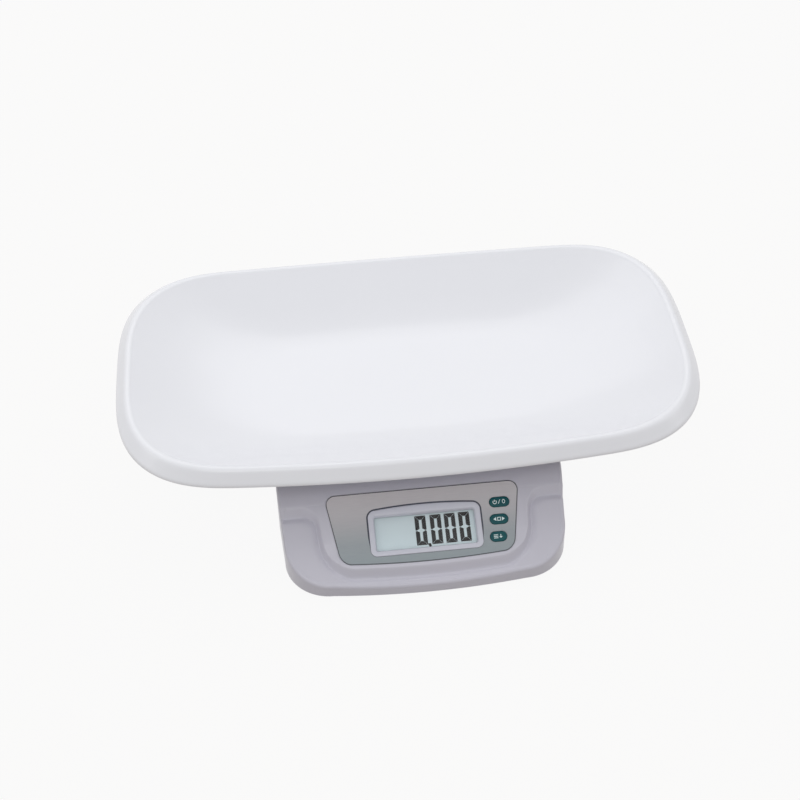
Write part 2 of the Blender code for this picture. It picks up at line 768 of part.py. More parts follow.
def top_case_rings():
    edge = CASE_EDGE_RADIUS
    foot = outline_ring(0)
    brow = outline_ring(CASE_DRAFT + edge)
    rings = [[(x, y, SKIRT_BOTTOM_Z) for x, y in foot]]
    for angle in BROW_ANGLES:
        turn = math.radians(angle)
        ring = outline_ring(CASE_DRAFT + edge * (1 - math.cos(turn)))
        rings.append([
            (x, y, top_height(*inner) - edge * (1 - math.sin(turn)))
            for (x, y), inner in zip(ring, brow)
        ])
    for step, share in enumerate(STEP_LINES):
        inset = CASE_DRAFT + edge + (step + 1) * RING_INSET
        rings.append(on_top(tongue_ring(STEP_WIDTH * share, inset)))
    return rings


def label_outline(grow=0.0):
    """The label's outline in the panel frame, grown outward."""
    top, bottom = LABEL_TOP_UP + grow, LABEL_BOTTOM_UP - grow
    high, low = LABEL_TOP_HALF_WIDTH + grow, LABEL_BOTTOM_HALF_WIDTH + grow
    bulge = bow((-low, bottom), (low, bottom), -LABEL_BOW)
    corners = [(-low, bottom)] + bulge + [(low, bottom), (high, top), (-high, top)]
    round_off = LABEL_CORNER + grow
    return rounded(corners, [round_off] + [0] * len(bulge) + [round_off] * 3)


def window_outline(grow=0.0):
    return rectangle(
        WINDOW_WIDTH + 2 * grow, WINDOW_HEIGHT + 2 * grow, WINDOW_CORNER + max(grow, 0),
        (0, WINDOW_CENTRE_UP), steps=HOLE_CORNER_STEPS,
    )


def frame_outline(grow=0.0):
    """The raised display frame, with its arched upper edge."""
    x = WINDOW_WIDTH / 2 + FRAME_SIDE + grow
    low = WINDOW_CENTRE_UP - WINDOW_HEIGHT / 2 - FRAME_BOTTOM - grow
    high = WINDOW_CENTRE_UP + WINDOW_HEIGHT / 2 + FRAME_TOP + grow
    arch = bow((x, high), (-x, high), FRAME_ARCH)
    corners = [(-x, low), (x, low), (x, high)] + arch + [(-x, high)]
    round_off = FRAME_CORNER + grow
    return rounded(corners, [round_off] * 3 + [0] * len(arch) + [round_off])


def taper(name, lower, upper, low, high, **where):
    """A closed solid between two outlines of equal counts."""
    rings = [[(x, y, low) for x, y in lower], [(x, y, high) for x, y in upper]]

    def fill_ends(shape, ring):
        shape.faces.new(ring)
        shape.verts.ensure_lookup_table()
        shape.faces.new([shape.verts[i] for i in reversed(range(len(ring)))])

    return loft(name, rings, fill_ends, **where)


def button_centre(i):
    return (BUTTON_X[i], BUTTON_TOP_UP - i * BUTTON_PITCH)


def board_screw_places():
    """Screw places on the circuit board, clear of the display and the buttons."""
    low_x = BOARD_WIDTH / 2 - BOARD_SCREW_INSET - BOARD_BOSS_RADIUS
    low = BOARD_CENTRE_UP - BOARD_HEIGHT / 2 + BOARD_SCREW_INSET
    high_x = WINDOW_WIDTH / 2 + LENS_OVERLAP + HOLDER_WALL + BOARD_BOSS_RADIUS + OVERRUN
    high = BOARD_CENTRE_UP + BOARD_HEIGHT / 2 - BOARD_SCREW_INSET
    return [(-low_x, low), (low_x, low), (high_x, high), (-high_x, high)]


def case_screw_places():
    return [(-CASE_BOSS_X, CASE_BOSS_FRONT), (CASE_BOSS_X, CASE_BOSS_FRONT),
            (CASE_BOSS_X, CASE_BOSS_REAR), (-CASE_BOSS_X, CASE_BOSS_REAR)]


def build_top_case():
    case = loft("top_case", top_case_rings(), fill_across, paint=CASE_LAVENDER)
    shell(case, CASE_WALL)
    in_panel = {"owner": panel_frame}
    cut(case, slab("label_recess", label_outline(GAP), -LABEL_RECESS, OVERRUN, **in_panel))
    fuse(case, slab("display_frame", frame_outline(), -CASE_WALL / 2, FRAME_PROUD, **in_panel))
    flare = window_outline(FRAME_PROUD + LABEL_RECESS)
    flare_low, flare_high = -CASE_WALL - OVERRUN, FRAME_PROUD + GAP
    cut(case, taper("window_flare", window_outline(0), flare, flare_low, flare_high, **in_panel))
    for i, name in enumerate(BUTTON_NAMES):
        hole = pill(BUTTON_WIDTHS[i] + 2 * GAP, BUTTON_HEIGHT + 2 * GAP, button_centre(i))
        cut(case, slab(name + "_hole", hole, -CASE_WALL - OVERRUN, OVERRUN, **in_panel))
    for i, place_at in enumerate(board_screw_places()):
        boss = stub(
            f"board_boss_{i + 1}", BOARD_BOSS_RADIUS, BOARD_TOP + GAP, -CASE_WALL / 2, at=place_at,
            **in_panel,
        )
        bore = stub(
            f"board_bore_{i + 1}", SCREW_RADIUS + GAP, BOARD_TOP - OVERRUN, BOARD_TOP + BOARD_SCREW_LENGTH,
            at=place_at, **in_panel,
        )
        fuse(case, boss)
        cut(case, bore)
    hub = SPACER_LENGTH / 2 + HUB_CLEARANCE, CELL_WIDTH / 2 + HUB_CLEARANCE
    opening = rectangle(2 * hub[0], 2 * hub[1], HUB_OPENING_CORNER, (SPACER_X, 0), steps=HOLE_CORNER_STEPS)
    cut(case, slab("hub_opening", opening, DECK_Z - 2 * CASE_WALL, DECK_Z + OVERRUN))
    boss_foot = CASE_FLOOR_Z + CASE_POST_HEIGHT + GAP
    for i, (x, y) in enumerate(case_screw_places()):
        boss_top = top_height(x, y) - CASE_WALL / 2
        boss = stub(f"case_boss_{i + 1}", CASE_BOSS_RADIUS, boss_foot, boss_top, at=(x, y))
        bore = stub(
            f"case_bore_{i + 1}", SCREW_RADIUS + GAP, boss_foot - OVERRUN,
            boss_foot + CASE_SCREW_LENGTH, at=(x, y),
        )
        fuse(case, boss)
        cut(case, bore)


# Bottom case with its posts, bosses and battery compartment

def foot_places():
    return [(-FOOT_X, FOOT_FRONT), (FOOT_X, FOOT_FRONT), (FOOT_X, FOOT_REAR), (-FOOT_X, FOOT_REAR)]


def bottom_case_rings():
    inset = CASE_WALL + CASE_DRAFT + GAP
    lip_top = FLOOR_TOP_Z + PLATE_BOSS_HEIGHT
    edge = CASE_WALL + OVERRUN
    round_off = edge * FLOOR_ROUND_SHARE
    return [
        [(x, y, lip_top) for x, y in plain_ring(inset)],
        [(x, y, CASE_FLOOR_Z + edge) for x, y in plain_ring(inset)],
        [(x, y, CASE_FLOOR_Z + round_off) for x, y in plain_ring(inset + round_off)],
        [(x, y, CASE_FLOOR_Z) for x, y in plain_ring(inset + edge)],
    ]


def compartment_half_size():
    """Half length and half width of the battery compartment's inside."""
    half_length = CELL_BODY_LENGTH + CELL_TIP_LENGTH + GAP / 2 + CONTACT_ROOM
    return half_length, CELL_PITCH / 2 + CELL_RADIUS + GAP


def build_bottom_case():
    case = loft("bottom_case", bottom_case_rings(), fill_flat, flip=True, paint=CASE_LAVENDER)
    shell(case, CASE_WALL)
    half_length, half_width = compartment_half_size()
    front, back = COMPARTMENT_Y - half_width, COMPARTMENT_Y + half_width
    ceiling = BATTERY_Z + CELL_RADIUS + GAP
    wall = COMPARTMENT_WALL
    outer = box(
        "compartment_outer", (-half_length - wall, front - wall, CASE_FLOOR_Z + wall / 2),
        (half_length + wall, back + wall, ceiling + wall),
    )
    inner = box(
        "compartment_inner", (-half_length, front, CASE_FLOOR_Z - OVERRUN), (half_length, back, ceiling),
    )
    fuse(case, outer)
    cut(case, inner)
    slot_top = FLOOR_TOP_Z + GAP + DOOR_TONGUE_THICKNESS + GAP
    slot_half = DOOR_TONGUE_WIDTH / 2 + GAP
    tab_half = CONTACT_SPRING_RADIUS
    for side, label in SIDES:
        x = side * DOOR_TONGUE_X
        cut(case, box(
            "tongue_slot_" + label, (x - slot_half, front - wall - OVERRUN, FLOOR_TOP_Z),
            (x + slot_half, front + OVERRUN, slot_top),
        ))
        tab_x = side * (half_length - CONTACT_THICKNESS)
        cut(case, box(
            "tab_slot_" + label,
            (tab_x - 2 * CONTACT_THICKNESS, COMPARTMENT_Y - tab_half, ceiling - OVERRUN),
            (tab_x + 2 * CONTACT_THICKNESS, COMPARTMENT_Y + tab_half, ceiling + wall + OVERRUN),
        ))
    for i, (x, y) in enumerate(case_screw_places()):
        post_top = CASE_FLOOR_Z + CASE_POST_HEIGHT
        fuse(case, cylinder(
            f"case_post_{i + 1}", CASE_POST_RADIUS, CASE_FLOOR_Z + CASE_WALL / 2, post_top, at=(x, y)))
        cut(case, turned(
            f"case_screw_well_{i + 1}",
            [(0, post_top + OVERRUN), (SCREW_RADIUS + HOLE_CLEARANCE, post_top + OVERRUN),
             (SCREW_RADIUS + HOLE_CLEARANCE, CASE_FLOOR_Z + SCREW_HEAD_HEIGHT + 3 * GAP),
             (SCREW_HEAD_RADIUS + HOLE_CLEARANCE, CASE_FLOOR_Z + SCREW_HEAD_HEIGHT + 3 * GAP),
             (SCREW_HEAD_RADIUS + HOLE_CLEARANCE, CASE_FLOOR_Z - OVERRUN), (0, CASE_FLOOR_Z - OVERRUN)],
            location=(x, y, 0),
        ))
    boss_top = FLOOR_TOP_Z + PLATE_BOSS_HEIGHT
    for i, (x, y) in enumerate(plate_screw_places()):
        fuse(case, stub(
            f"plate_boss_{i + 1}", PLATE_BOSS_RADIUS, FLOOR_TOP_Z - CASE_WALL / 2, boss_top, at=(x, y)))
        cut(case, stub(
            f"plate_bore_{i + 1}", SCREW_RADIUS + GAP, FLOOR_TOP_Z - CASE_WALL / 4, boss_top + OVERRUN,
            at=(x, y)))
    for i, (x, y) in enumerate(foot_places()):
        cut(case, cylinder(
            f"foot_hole_{i + 1}", FOOT_PEG_RADIUS + GAP, CASE_FLOOR_Z - OVERRUN, FLOOR_TOP_Z + OVERRUN,
            at=(x, y)))


def plate_screw_places():
    return corners_of(PLATE_LENGTH / 2 - PLATE_SCREW_INSET, PLATE_WIDTH / 2 - PLATE_SCREW_INSET)


# Display, circuit board and buttons, all in the panel frame

def build_display():
    in_panel = {"owner": panel_frame}
    plate = slab("faceplate", label_outline(), -LABEL_THICKNESS, 0, paint=LABEL_SILVER, **in_panel)
    overrun = LABEL_THICKNESS + OVERRUN
    cut(plate, slab("faceplate_window", frame_outline(GAP), -overrun, OVERRUN, **in_panel))
    for i, name in enumerate(BUTTON_NAMES):
        hole = pill(BUTTON_WIDTHS[i] + 2 * GAP, BUTTON_HEIGHT + 2 * GAP, button_centre(i))
        cut(plate, slab(name + "_label_hole", hole, -overrun, OVERRUN, **in_panel))

    lens_top = -CASE_WALL - GAP
    glass_top = lens_top - LENS_THICKNESS - GAP
    strip_top = glass_top - GLASS_THICKNESS - GAP
    half_x = WINDOW_WIDTH / 2 + LENS_OVERLAP
    half_up = WINDOW_HEIGHT / 2 + LENS_OVERLAP
    low, high = WINDOW_CENTRE_UP - half_up, WINDOW_CENTRE_UP + half_up
    box("lcd_lens", (-half_x, low, lens_top - LENS_THICKNESS), (half_x, high, lens_top),
        paint=CLEAR, **in_panel)
    box("lcd_glass", (-half_x, low, glass_top - GLASS_THICKNESS), (half_x, high, glass_top),
        paint=LCD_GREY, **in_panel)
    wall = HOLDER_WALL
    holder = box(
        "lcd_holder", (-half_x - wall, low - wall, BOARD_TOP + GAP), (half_x + wall, high + wall, lens_top),
        paint=HOLDER_WHITE, **in_panel,
    )
    cut(holder, box(
        "holder_pocket", (-half_x - GAP, low - GAP, strip_top),
        (half_x + GAP, high + GAP, lens_top + OVERRUN), **in_panel,
    ))
    cut(holder, box(
        "holder_through", (-half_x + HOLDER_LIP, low + HOLDER_LIP, BOARD_TOP - OVERRUN),
        (half_x - HOLDER_LIP, high - HOLDER_LIP, strip_top + OVERRUN), **in_panel,
    ))
    strip_low = low + HOLDER_LIP + GAP
    strip_half = half_x - HOLDER_LIP - GAP
    box("contact_strip", (-strip_half, strip_low, strip_top - STRIP_HEIGHT),
        (strip_half, strip_low + STRIP_WIDTH, strip_top), paint=SOFT_STRIP, **in_panel)


def build_board():
    in_panel = {"owner": panel_frame}
    middle = (0, BOARD_CENTRE_UP)
    outline = rectangle(BOARD_WIDTH, BOARD_HEIGHT, BOARD_BOSS_RADIUS, middle, steps=HOLE_CORNER_STEPS)
    under = BOARD_TOP - BOARD_THICKNESS
    board = slab("main_board", outline, under, BOARD_TOP, paint=BOARD_GREEN, **in_panel)
    for i, place_at in enumerate(board_screw_places()):
        cut(board, stub(
            f"board_hole_{i + 1}", SCREW_RADIUS + GAP, under - OVERRUN, BOARD_TOP + OVERRUN,
            at=place_at, **in_panel,
        ))
        head = under - GAP
        build_screw(f"board_screw_{i + 1}", (*place_at, head), BOARD_SCREW_LENGTH, panel_frame)
    seat = BOARD_TOP + GAP
    for i, name in enumerate(BUTTON_NAMES):
        x, up = button_centre(i)
        half = SWITCH_SIZE / 2
        switch = box(
            name.replace("button", "tact_switch"), (x - half, up - half, seat),
            (x + half, up + half, seat + SWITCH_HEIGHT), paint=BLACK_PLASTIC, **in_panel,
        )
        fuse(switch, stub(
            name + "_plunger", SWITCH_PLUNGER_RADIUS, seat + SWITCH_HEIGHT / 2,
            seat + SWITCH_HEIGHT + SWITCH_PLUNGER_HEIGHT, at=(x, up), **in_panel,
        ))
    x = -BOARD_WIDTH / 2 + BUZZER_RADIUS + 2 * BOARD_SCREW_INSET
    turned(
        "buzzer",
        [(0, seat + BUZZER_HEIGHT), (BUZZER_RADIUS - BUTTON_EDGE, seat + BUZZER_HEIGHT),
         (BUZZER_RADIUS, seat + BUZZER_HEIGHT - BUTTON_EDGE), (BUZZER_RADIUS, seat), (0, seat)],
        steps=ROUND_STEPS, paint=BLACK_PLASTIC, location=(x, BOARD_CENTRE_UP, 0), owner=panel_frame,
    )


def build_screw(name, head_at, length, owner=tray_centre, down=False):
    """A pan-head screw whose head lies on the near side of a place; it points up, or down."""
    head = -SCREW_HEAD_HEIGHT
    profile = [
        (0, length), (SCREW_RADIUS / 2, length), (SCREW_RADIUS, length - SCREW_RADIUS), (SCREW_RADIUS, 0),
        (SCREW_HEAD_RADIUS, 0), (SCREW_HEAD_RADIUS, head / 2), (SCREW_HEAD_RADIUS * TIP_SHARE, head),
        (0, head),
    ]
    screw = turned(name, profile, paint=STEEL, owner=owner, location=head_at)
    if down:
        screw.rotation_euler = (math.pi, 0, 0)
    return screw


def build_bolt(name, head_at, length, down=False):
    """A socket-head bolt with a hexagon recess; its head lies below the place, or above it."""
    head = -BOLT_HEAD_HEIGHT
    tip = BOLT_RADIUS * TIP_SHARE
    rim = BOLT_HEAD_RADIUS - BOLT_RADIUS + tip
    profile = [
        (0, length), (tip, length), (BOLT_RADIUS, length - BOLT_RADIUS + tip), (BOLT_RADIUS, 0),
        (BOLT_HEAD_RADIUS, 0), (BOLT_HEAD_RADIUS, head + BOLT_HEAD_RADIUS - rim), (rim, head), (0, head),
    ]
    bolt = turned(name, profile, steps=BOLT_STEPS, paint=STEEL, location=head_at)
    socket = cylinder(
        name + "_socket", BOLT_RADIUS, head - OVERRUN, head / 2, sides=HEXAGON, owner=bolt,
    )
    cut(bolt, socket)
    if down:
        bolt.rotation_euler = (math.pi, 0, 0)


def build_buttons():
    """Pill caps on the slope of the panel, each with a flange behind the case and a stem."""
    switch_top = BOARD_TOP + GAP + SWITCH_HEIGHT + SWITCH_PLUNGER_HEIGHT
    flange_top = -CASE_WALL - GAP
    for i, name in enumerate(BUTTON_NAMES):
        x, up = button_centre(i)
        carrier = frame(name + "_frame", (x, up, 0), panel_frame)
        held = {"owner": carrier}
        cap = slab(
            name, pill(BUTTON_WIDTHS[i], BUTTON_HEIGHT, (0, 0)), flange_top - OVERRUN / 2, BUTTON_PROUD,
            paint=BUTTON_TEAL, **held,
        )
        bevel(cap, BUTTON_EDGE)
        grown = 2 * BUTTON_FLANGE
        flange = slab(
            name + "_flange", pill(BUTTON_WIDTHS[i] + grown, BUTTON_HEIGHT + grown, (0, 0)),
            flange_top - BUTTON_FLANGE_THICKNESS, flange_top, **held,
        )
        stem = stub(
            name + "_stem", BUTTON_STEM_RADIUS, switch_top + BUTTON_TRAVEL + GAP,
            flange_top - BUTTON_FLANGE_THICKNESS / 2, **held,
        )
        fuse(cap, flange, stem)


# Load cell, spacers and the plate that carries them

def cell_bolt_x(side):
    """The two bolt places at one end of the load cell."""
    outer = CELL_LENGTH / 2 - CELL_BOLT_INSET
    return [side * outer, side * (outer - CELL_BOLT_SPACING)]


def build_load_path():
    half = CELL_LENGTH / 2
    cell = box("load_cell", (-half, -CELL_WIDTH / 2, CELL_Z), (half, CELL_WIDTH / 2, CELL_Z + CELL_HEIGHT),
               paint=ALUMINIUM)
    middle = CELL_Z + CELL_HEIGHT / 2
    for side, label in SIDES:
        hole = cylinder(
            "cell_hole_" + label, CELL_HOLE_RADIUS, -CELL_WIDTH, CELL_WIDTH,
            location=(side * CELL_HOLE_SPACING / 2, 0, middle), sides=SENSING_HOLE_SIDES,
        )
        hole.rotation_euler = (math.pi / 2, 0, 0)
        cut(cell, hole)
    cut(cell, box(
        "cell_slot", (-CELL_HOLE_SPACING / 2, -CELL_WIDTH, middle - CELL_SLOT / 2),
        (CELL_HOLE_SPACING / 2, CELL_WIDTH, middle + CELL_SLOT / 2),
    ))
    bite = CELL_BOLT_BITE + OVERRUN
    width = SPACER_LENGTH / 2
    plate = slab(
        "load_cell_plate", rectangle(PLATE_LENGTH, PLATE_WIDTH, PLATE_SCREW_INSET, steps=HOLE_CORNER_STEPS),
        PLATE_Z, PLATE_Z + PLATE_THICKNESS, paint=STEEL,
    )
    lower = box(
        "lower_spacer", (-SPACER_X - width, -CELL_WIDTH / 2, LOWER_SPACER_Z),
        (-SPACER_X + width, CELL_WIDTH / 2, LOWER_SPACER_Z + LOWER_SPACER_HEIGHT), paint=ALUMINIUM,
    )
    upper = box(
        "upper_spacer", (SPACER_X - width, -CELL_WIDTH / 2, UPPER_SPACER_Z),
        (SPACER_X + width, CELL_WIDTH / 2, UPPER_SPACER_Z + UPPER_SPACER_HEIGHT), paint=ALUMINIUM,
    )
    radius = BOLT_RADIUS + HOLE_CLEARANCE
    for i, x in enumerate(cell_bolt_x(-1)):
        bore = stub(f"lower_bolt_bore_{i + 1}", radius, PLATE_Z - OVERRUN, CELL_Z + bite, at=(x, 0))
        for made in (cell, plate, lower):
            cut(made, bore)
        build_bolt(f"lower_bolt_{i + 1}", (x, 0, PLATE_Z - GAP), CELL_Z + CELL_BOLT_BITE - PLATE_Z + GAP)
    cell_top = CELL_Z + CELL_HEIGHT
    bores = []
    for i, x in enumerate(cell_bolt_x(1)):
        bore = stub(
            f"upper_bolt_bore_{i + 1}", radius, cell_top - bite, CARRIER_TOP_Z + OVERRUN, at=(x, 0))
        for made in (cell, upper):
            cut(made, bore)
        bores.append(bore)
        build_bolt(
            f"upper_bolt_{i + 1}", (x, 0, CARRIER_TOP_Z + GAP),
            CARRIER_TOP_Z + GAP - cell_top + CELL_BOLT_BITE, down=True,
        )
    stop_x = SPACER_X
    stop_head = CELL_Z - STOP_CLEARANCE - BOLT_HEAD_HEIGHT
    stop_foot = FLOOR_TOP_Z + 2 * OVERRUN
    cut(plate, stub("stop_bore", radius, PLATE_Z - OVERRUN, PLATE_Z + PLATE_THICKNESS + OVERRUN,
                        at=(stop_x, 0)))
    build_bolt("overload_stop", (stop_x, 0, stop_head), stop_head - stop_foot, down=True)
    for i, (x, y) in enumerate(plate_screw_places()):
        cut(plate, stub(
            f"plate_hole_{i + 1}", SCREW_RADIUS + HOLE_CLEARANCE, PLATE_Z - OVERRUN,
            PLATE_Z + PLATE_THICKNESS + OVERRUN, at=(x, y)))
        head_at = (x, y, PLATE_Z + PLATE_THICKNESS + GAP)
        build_screw(f"plate_screw_{i + 1}", head_at, PLATE_SCREW_LENGTH, down=True)
    return bores


def build_carrier(bolt_bores):
    """The plate under the tray, with its rim, ribs and the hub that stands on the load cell."""
    outline = rectangle(CARRIER_LENGTH, CARRIER_WIDTH, CARRIER_CORNER)
    rib = CARRIER_RIB_THICKNESS
    plate = slab("tray_carrier", outline, CARRIER_Z, CARRIER_TOP_Z, paint=CASE_LAVENDER)
    rim_top = CARRIER_TOP_Z + CARRIER_RIM_DROP
    rim = slab("carrier_rim", outline, CARRIER_TOP_Z - rib / 2, rim_top)
    inside = rectangle(CARRIER_LENGTH - 2 * rib, CARRIER_WIDTH - 2 * rib, CARRIER_CORNER - rib)
    cut(rim, slab("carrier_rim_inside", inside, CARRIER_TOP_Z - rib, rim_top + OVERRUN))
    fuse(plate, rim)
    half_x, half_y = CARRIER_LENGTH / 2 - rib / 2, CARRIER_WIDTH / 2 - rib / 2
    for side, label in SIDES:
        x = side * (CARRIER_SOCKET_X + STUD_RADIUS + 2 * rib)
        fuse(plate, box(f"carrier_cross_rib_{label}", (x - rib / 2, -half_y, CARRIER_TOP_Z - rib / 2),
                        (x + rib / 2, half_y, rim_top - GAP)))
        y = side * (CELL_WIDTH / 2 + rib)
        fuse(plate, box(f"carrier_long_rib_{label}", (-half_x, y - rib / 2, CARRIER_TOP_Z - rib / 2),
                        (half_x, y + rib / 2, rim_top - 2 * GAP)))
    hub = SPACER_LENGTH / 2
    fuse(plate, box("carrier_hub", (SPACER_X - hub, -CELL_WIDTH / 2, HUB_BOTTOM_Z),
                    (SPACER_X + hub, CELL_WIDTH / 2, CARRIER_Z + CARRIER_THICKNESS / 2)))
    cut(plate, *bolt_bores)
    for i, (x, y) in enumerate(corners_of(CARRIER_SOCKET_X, CARRIER_SOCKET_Y)):
        cut(plate, stub(f"stud_socket_{i + 1}", STUD_RADIUS + STUD_CLEARANCE, CARRIER_Z - OVERRUN,
                            CARRIER_TOP_Z + OVERRUN, at=(x, y)))
    seat = CARRIER_TOP_Z - PAD_SEAT
    for i, (x, y) in enumerate(corners_of(PAD_X, CARRIER_SOCKET_Y)):
        cut(plate, cylinder(f"pad_seat_{i + 1}", PAD_RADIUS + GAP, seat, rim_top + OVERRUN, at=(x, y)))
        turned(
            f"carrier_pad_{i + 1}",
            [(0, TRAY_UNDER_Z - GAP), (PAD_RADIUS - OVERRUN, TRAY_UNDER_Z - GAP),
             (PAD_RADIUS, TRAY_UNDER_Z - GAP - OVERRUN), (PAD_RADIUS, seat + GAP), (0, seat + GAP)],
            steps=ROUND_STEPS, paint=RUBBER_GREY, location=(x, y, 0),
        )


# Feet, fasteners, batteries, door and leads

def build_feet_and_case_screws():
    bead, peg = FOOT_BEAD, FOOT_PEG_RADIUS
    top, under = FLOOR_TOP_Z + GAP, CASE_FLOOR_Z - GAP
    profile = [
        (0, top + 2 * bead), (peg, top + 2 * bead), (peg + bead, top), (peg, top), (peg, under),
        (FOOT_RADIUS, under), (FOOT_RADIUS, bead), (FOOT_RADIUS - bead, 0), (0, 0),
    ]
    for i, (x, y) in enumerate(foot_places()):
        turned(f"foot_{i + 1}", profile, steps=ROUND_STEPS, paint=RUBBER_GREY, location=(x, y, 0))
    for i, (x, y) in enumerate(case_screw_places()):
        head = CASE_FLOOR_Z + SCREW_HEAD_HEIGHT + 2 * GAP
        build_screw(f"case_screw_{i + 1}", (x, y, head), CASE_SCREW_LENGTH)


def build_batteries():
    half_length, half_width = compartment_half_size()
    tip = CELL_TIP_RADIUS
    whole = CELL_BODY_LENGTH + CELL_TIP_LENGTH
    profile = [
        (0, whole), (tip, whole), (tip, CELL_BODY_LENGTH), (CELL_RADIUS * 0.92, CELL_BODY_LENGTH),
        (CELL_RADIUS, CELL_BODY_LENGTH - CELL_TIP_LENGTH * 0.4), (CELL_RADIUS, CELL_TIP_LENGTH * 0.4),
        (CELL_RADIUS * 0.92, 0), (0, 0),
    ]
    rows = (COMPARTMENT_Y - CELL_PITCH / 2, COMPARTMENT_Y + CELL_PITCH / 2)
    for row, (y, towards) in enumerate(zip(rows, (1, -1))):
        starts = (-whole - GAP / 2, GAP / 2) if towards > 0 else (-GAP / 2, whole + GAP / 2)
        for column, start in enumerate(starts):
            battery = turned(
                f"battery_cell_{2 * row + column + 1}", profile, steps=ROUND_STEPS, paint=BATTERY_WRAP,
                location=(start, y, BATTERY_Z),
            )
            battery.rotation_euler = (0, towards * math.pi / 2, 0)
    ceiling = BATTERY_Z + CELL_RADIUS + GAP
    for side, label in SIDES:
        wall_x = side * (half_length - GAP)
        plate_x = wall_x - side * CONTACT_THICKNESS
        near, far = sorted((wall_x, plate_x))
        contact = box(
            "battery_contact_" + label, (near, COMPARTMENT_Y - half_width + GAP, FLOOR_TOP_Z + GAP),
            (far, COMPARTMENT_Y + half_width - GAP, ceiling - GAP), paint=CONTACT_STEEL,
        )
        tab_half = CONTACT_SPRING_RADIUS - 3 * GAP
        fuse(contact, box(
            f"contact_tab_{label}", (near, COMPARTMENT_Y - tab_half, ceiling - OVERRUN),
            (far, COMPARTMENT_Y + tab_half, ceiling + 2 * COMPARTMENT_WALL),
        ))
        reach = CONTACT_ROOM - CONTACT_THICKNESS - 2 * GAP
        for row, y in enumerate(rows):
            spring = stub(
                f"contact_spring_{label}_{row + 1}", CONTACT_SPRING_RADIUS, -CONTACT_THICKNESS / 2, reach,
                top_radius=CONTACT_SPRING_RADIUS / 2, location=(plate_x, y, BATTERY_Z),
            )
            spring.rotation_euler = (0, -side * math.pi / 2, 0)
            fuse(contact, spring)


def build_battery_door():
    half_length, half_width = compartment_half_size()
    top = CASE_FLOOR_Z - GAP
    outline = rectangle(
        2 * (half_length + DOOR_OVERLAP), 2 * (half_width + DOOR_OVERLAP), DOOR_OVERLAP,
        (0, COMPARTMENT_Y), steps=HOLE_CORNER_STEPS,
    )
    door = slab("battery_door", outline, top - DOOR_THICKNESS, top, paint=CASE_LAVENDER)
    front = COMPARTMENT_Y - half_width
    toe_low = FLOOR_TOP_Z + GAP
    toe_high = toe_low + DOOR_TONGUE_THICKNESS
    thick = DOOR_TONGUE_THICKNESS
    for side, label in SIDES:
        x = side * DOOR_TONGUE_X
        low_x, high_x = x - DOOR_TONGUE_WIDTH / 2, x + DOOR_TONGUE_WIDTH / 2
        stem = box(f"door_stem_{label}", (low_x, front + GAP, top - DOOR_THICKNESS / 2),
                   (high_x, front + GAP + thick, toe_high))
        toe = box(f"door_toe_{label}", (low_x, front - DOOR_TONGUE_REACH, toe_low),
                  (high_x, front + GAP + thick / 2, toe_high))
        fuse(door, stem, toe)
    under = top - DOOR_THICKNESS
    for i in range(DOOR_GRIPS):
        y = COMPARTMENT_Y + (2 * i + 1 - DOOR_GRIPS) * DOOR_GRIP_WIDTH
        cut(door, box(
            f"door_grip_{i + 1}", (-DOOR_TONGUE_WIDTH, y - DOOR_GRIP_WIDTH / 2, under - OVERRUN),
            (DOOR_TONGUE_WIDTH, y + DOOR_GRIP_WIDTH / 2, under + DOOR_GRIP_DEPTH),
        ))


def smooth_route(route, spacing):
    """Points at an even spacing on a smooth curve through the route's own points."""
    knots = [Vector(point) for point in route]
    knots = [2 * knots[0] - knots[1]] + knots + [2 * knots[-1] - knots[-2]]
    fine = []
    for a, b, c, d in zip(knots, knots[1:], knots[2:], knots[3:]):
        for t in np.linspace(0, 1, 24, endpoint=False):
            fine.append(0.5 * (2 * b + (c - a) * t + (2 * a - 5 * b + 4 * c - d) * t ** 2
                               + (3 * b - a - 3 * c + d) * t ** 3))
    fine.append(knots[-2])
    travelled = np.concatenate([[0], np.cumsum([(q - p).length for p, q in zip(fine, fine[1:])])])
    count = max(2, int(travelled[-1] / spacing) + 1)
    wanted = np.linspace(0, travelled[-1], count)
    return [tuple(np.interp(at, travelled, [point[axis] for point in fine]) for axis in range(3))
            for at in wanted]


def build_lead(name, route):
    """A round lead along a route."""
    points = smooth_route(route, LEAD_SPACING)
    curve = bpy.data.curves.new(name, "CURVE")
    curve.dimensions = "3D"
    curve.bevel_depth = LEAD_RADIUS
    curve.bevel_resolution = 1
    curve.use_fill_caps = True
    spline = curve.splines.new("POLY")
    spline.points.add(len(points) - 1)
    for point, place_at in zip(spline.points, points):
        point.co = (*place_at, 1)
    curve.materials.append(LEAD_GREY)
    lead = bpy.data.objects.new(name, curve)
    lead.parent = tray_centre
    parts.objects.link(lead)


def board_arrival(x):
    """The last points of a lead that meets the circuit board square from below."""
    under = BOARD_TOP - BOARD_THICKNESS - GAP
    return [panel_point(x, BOARD_CENTRE_UP, under - reach * LEAD_RADIUS) for reach in (12, 6, 0)]


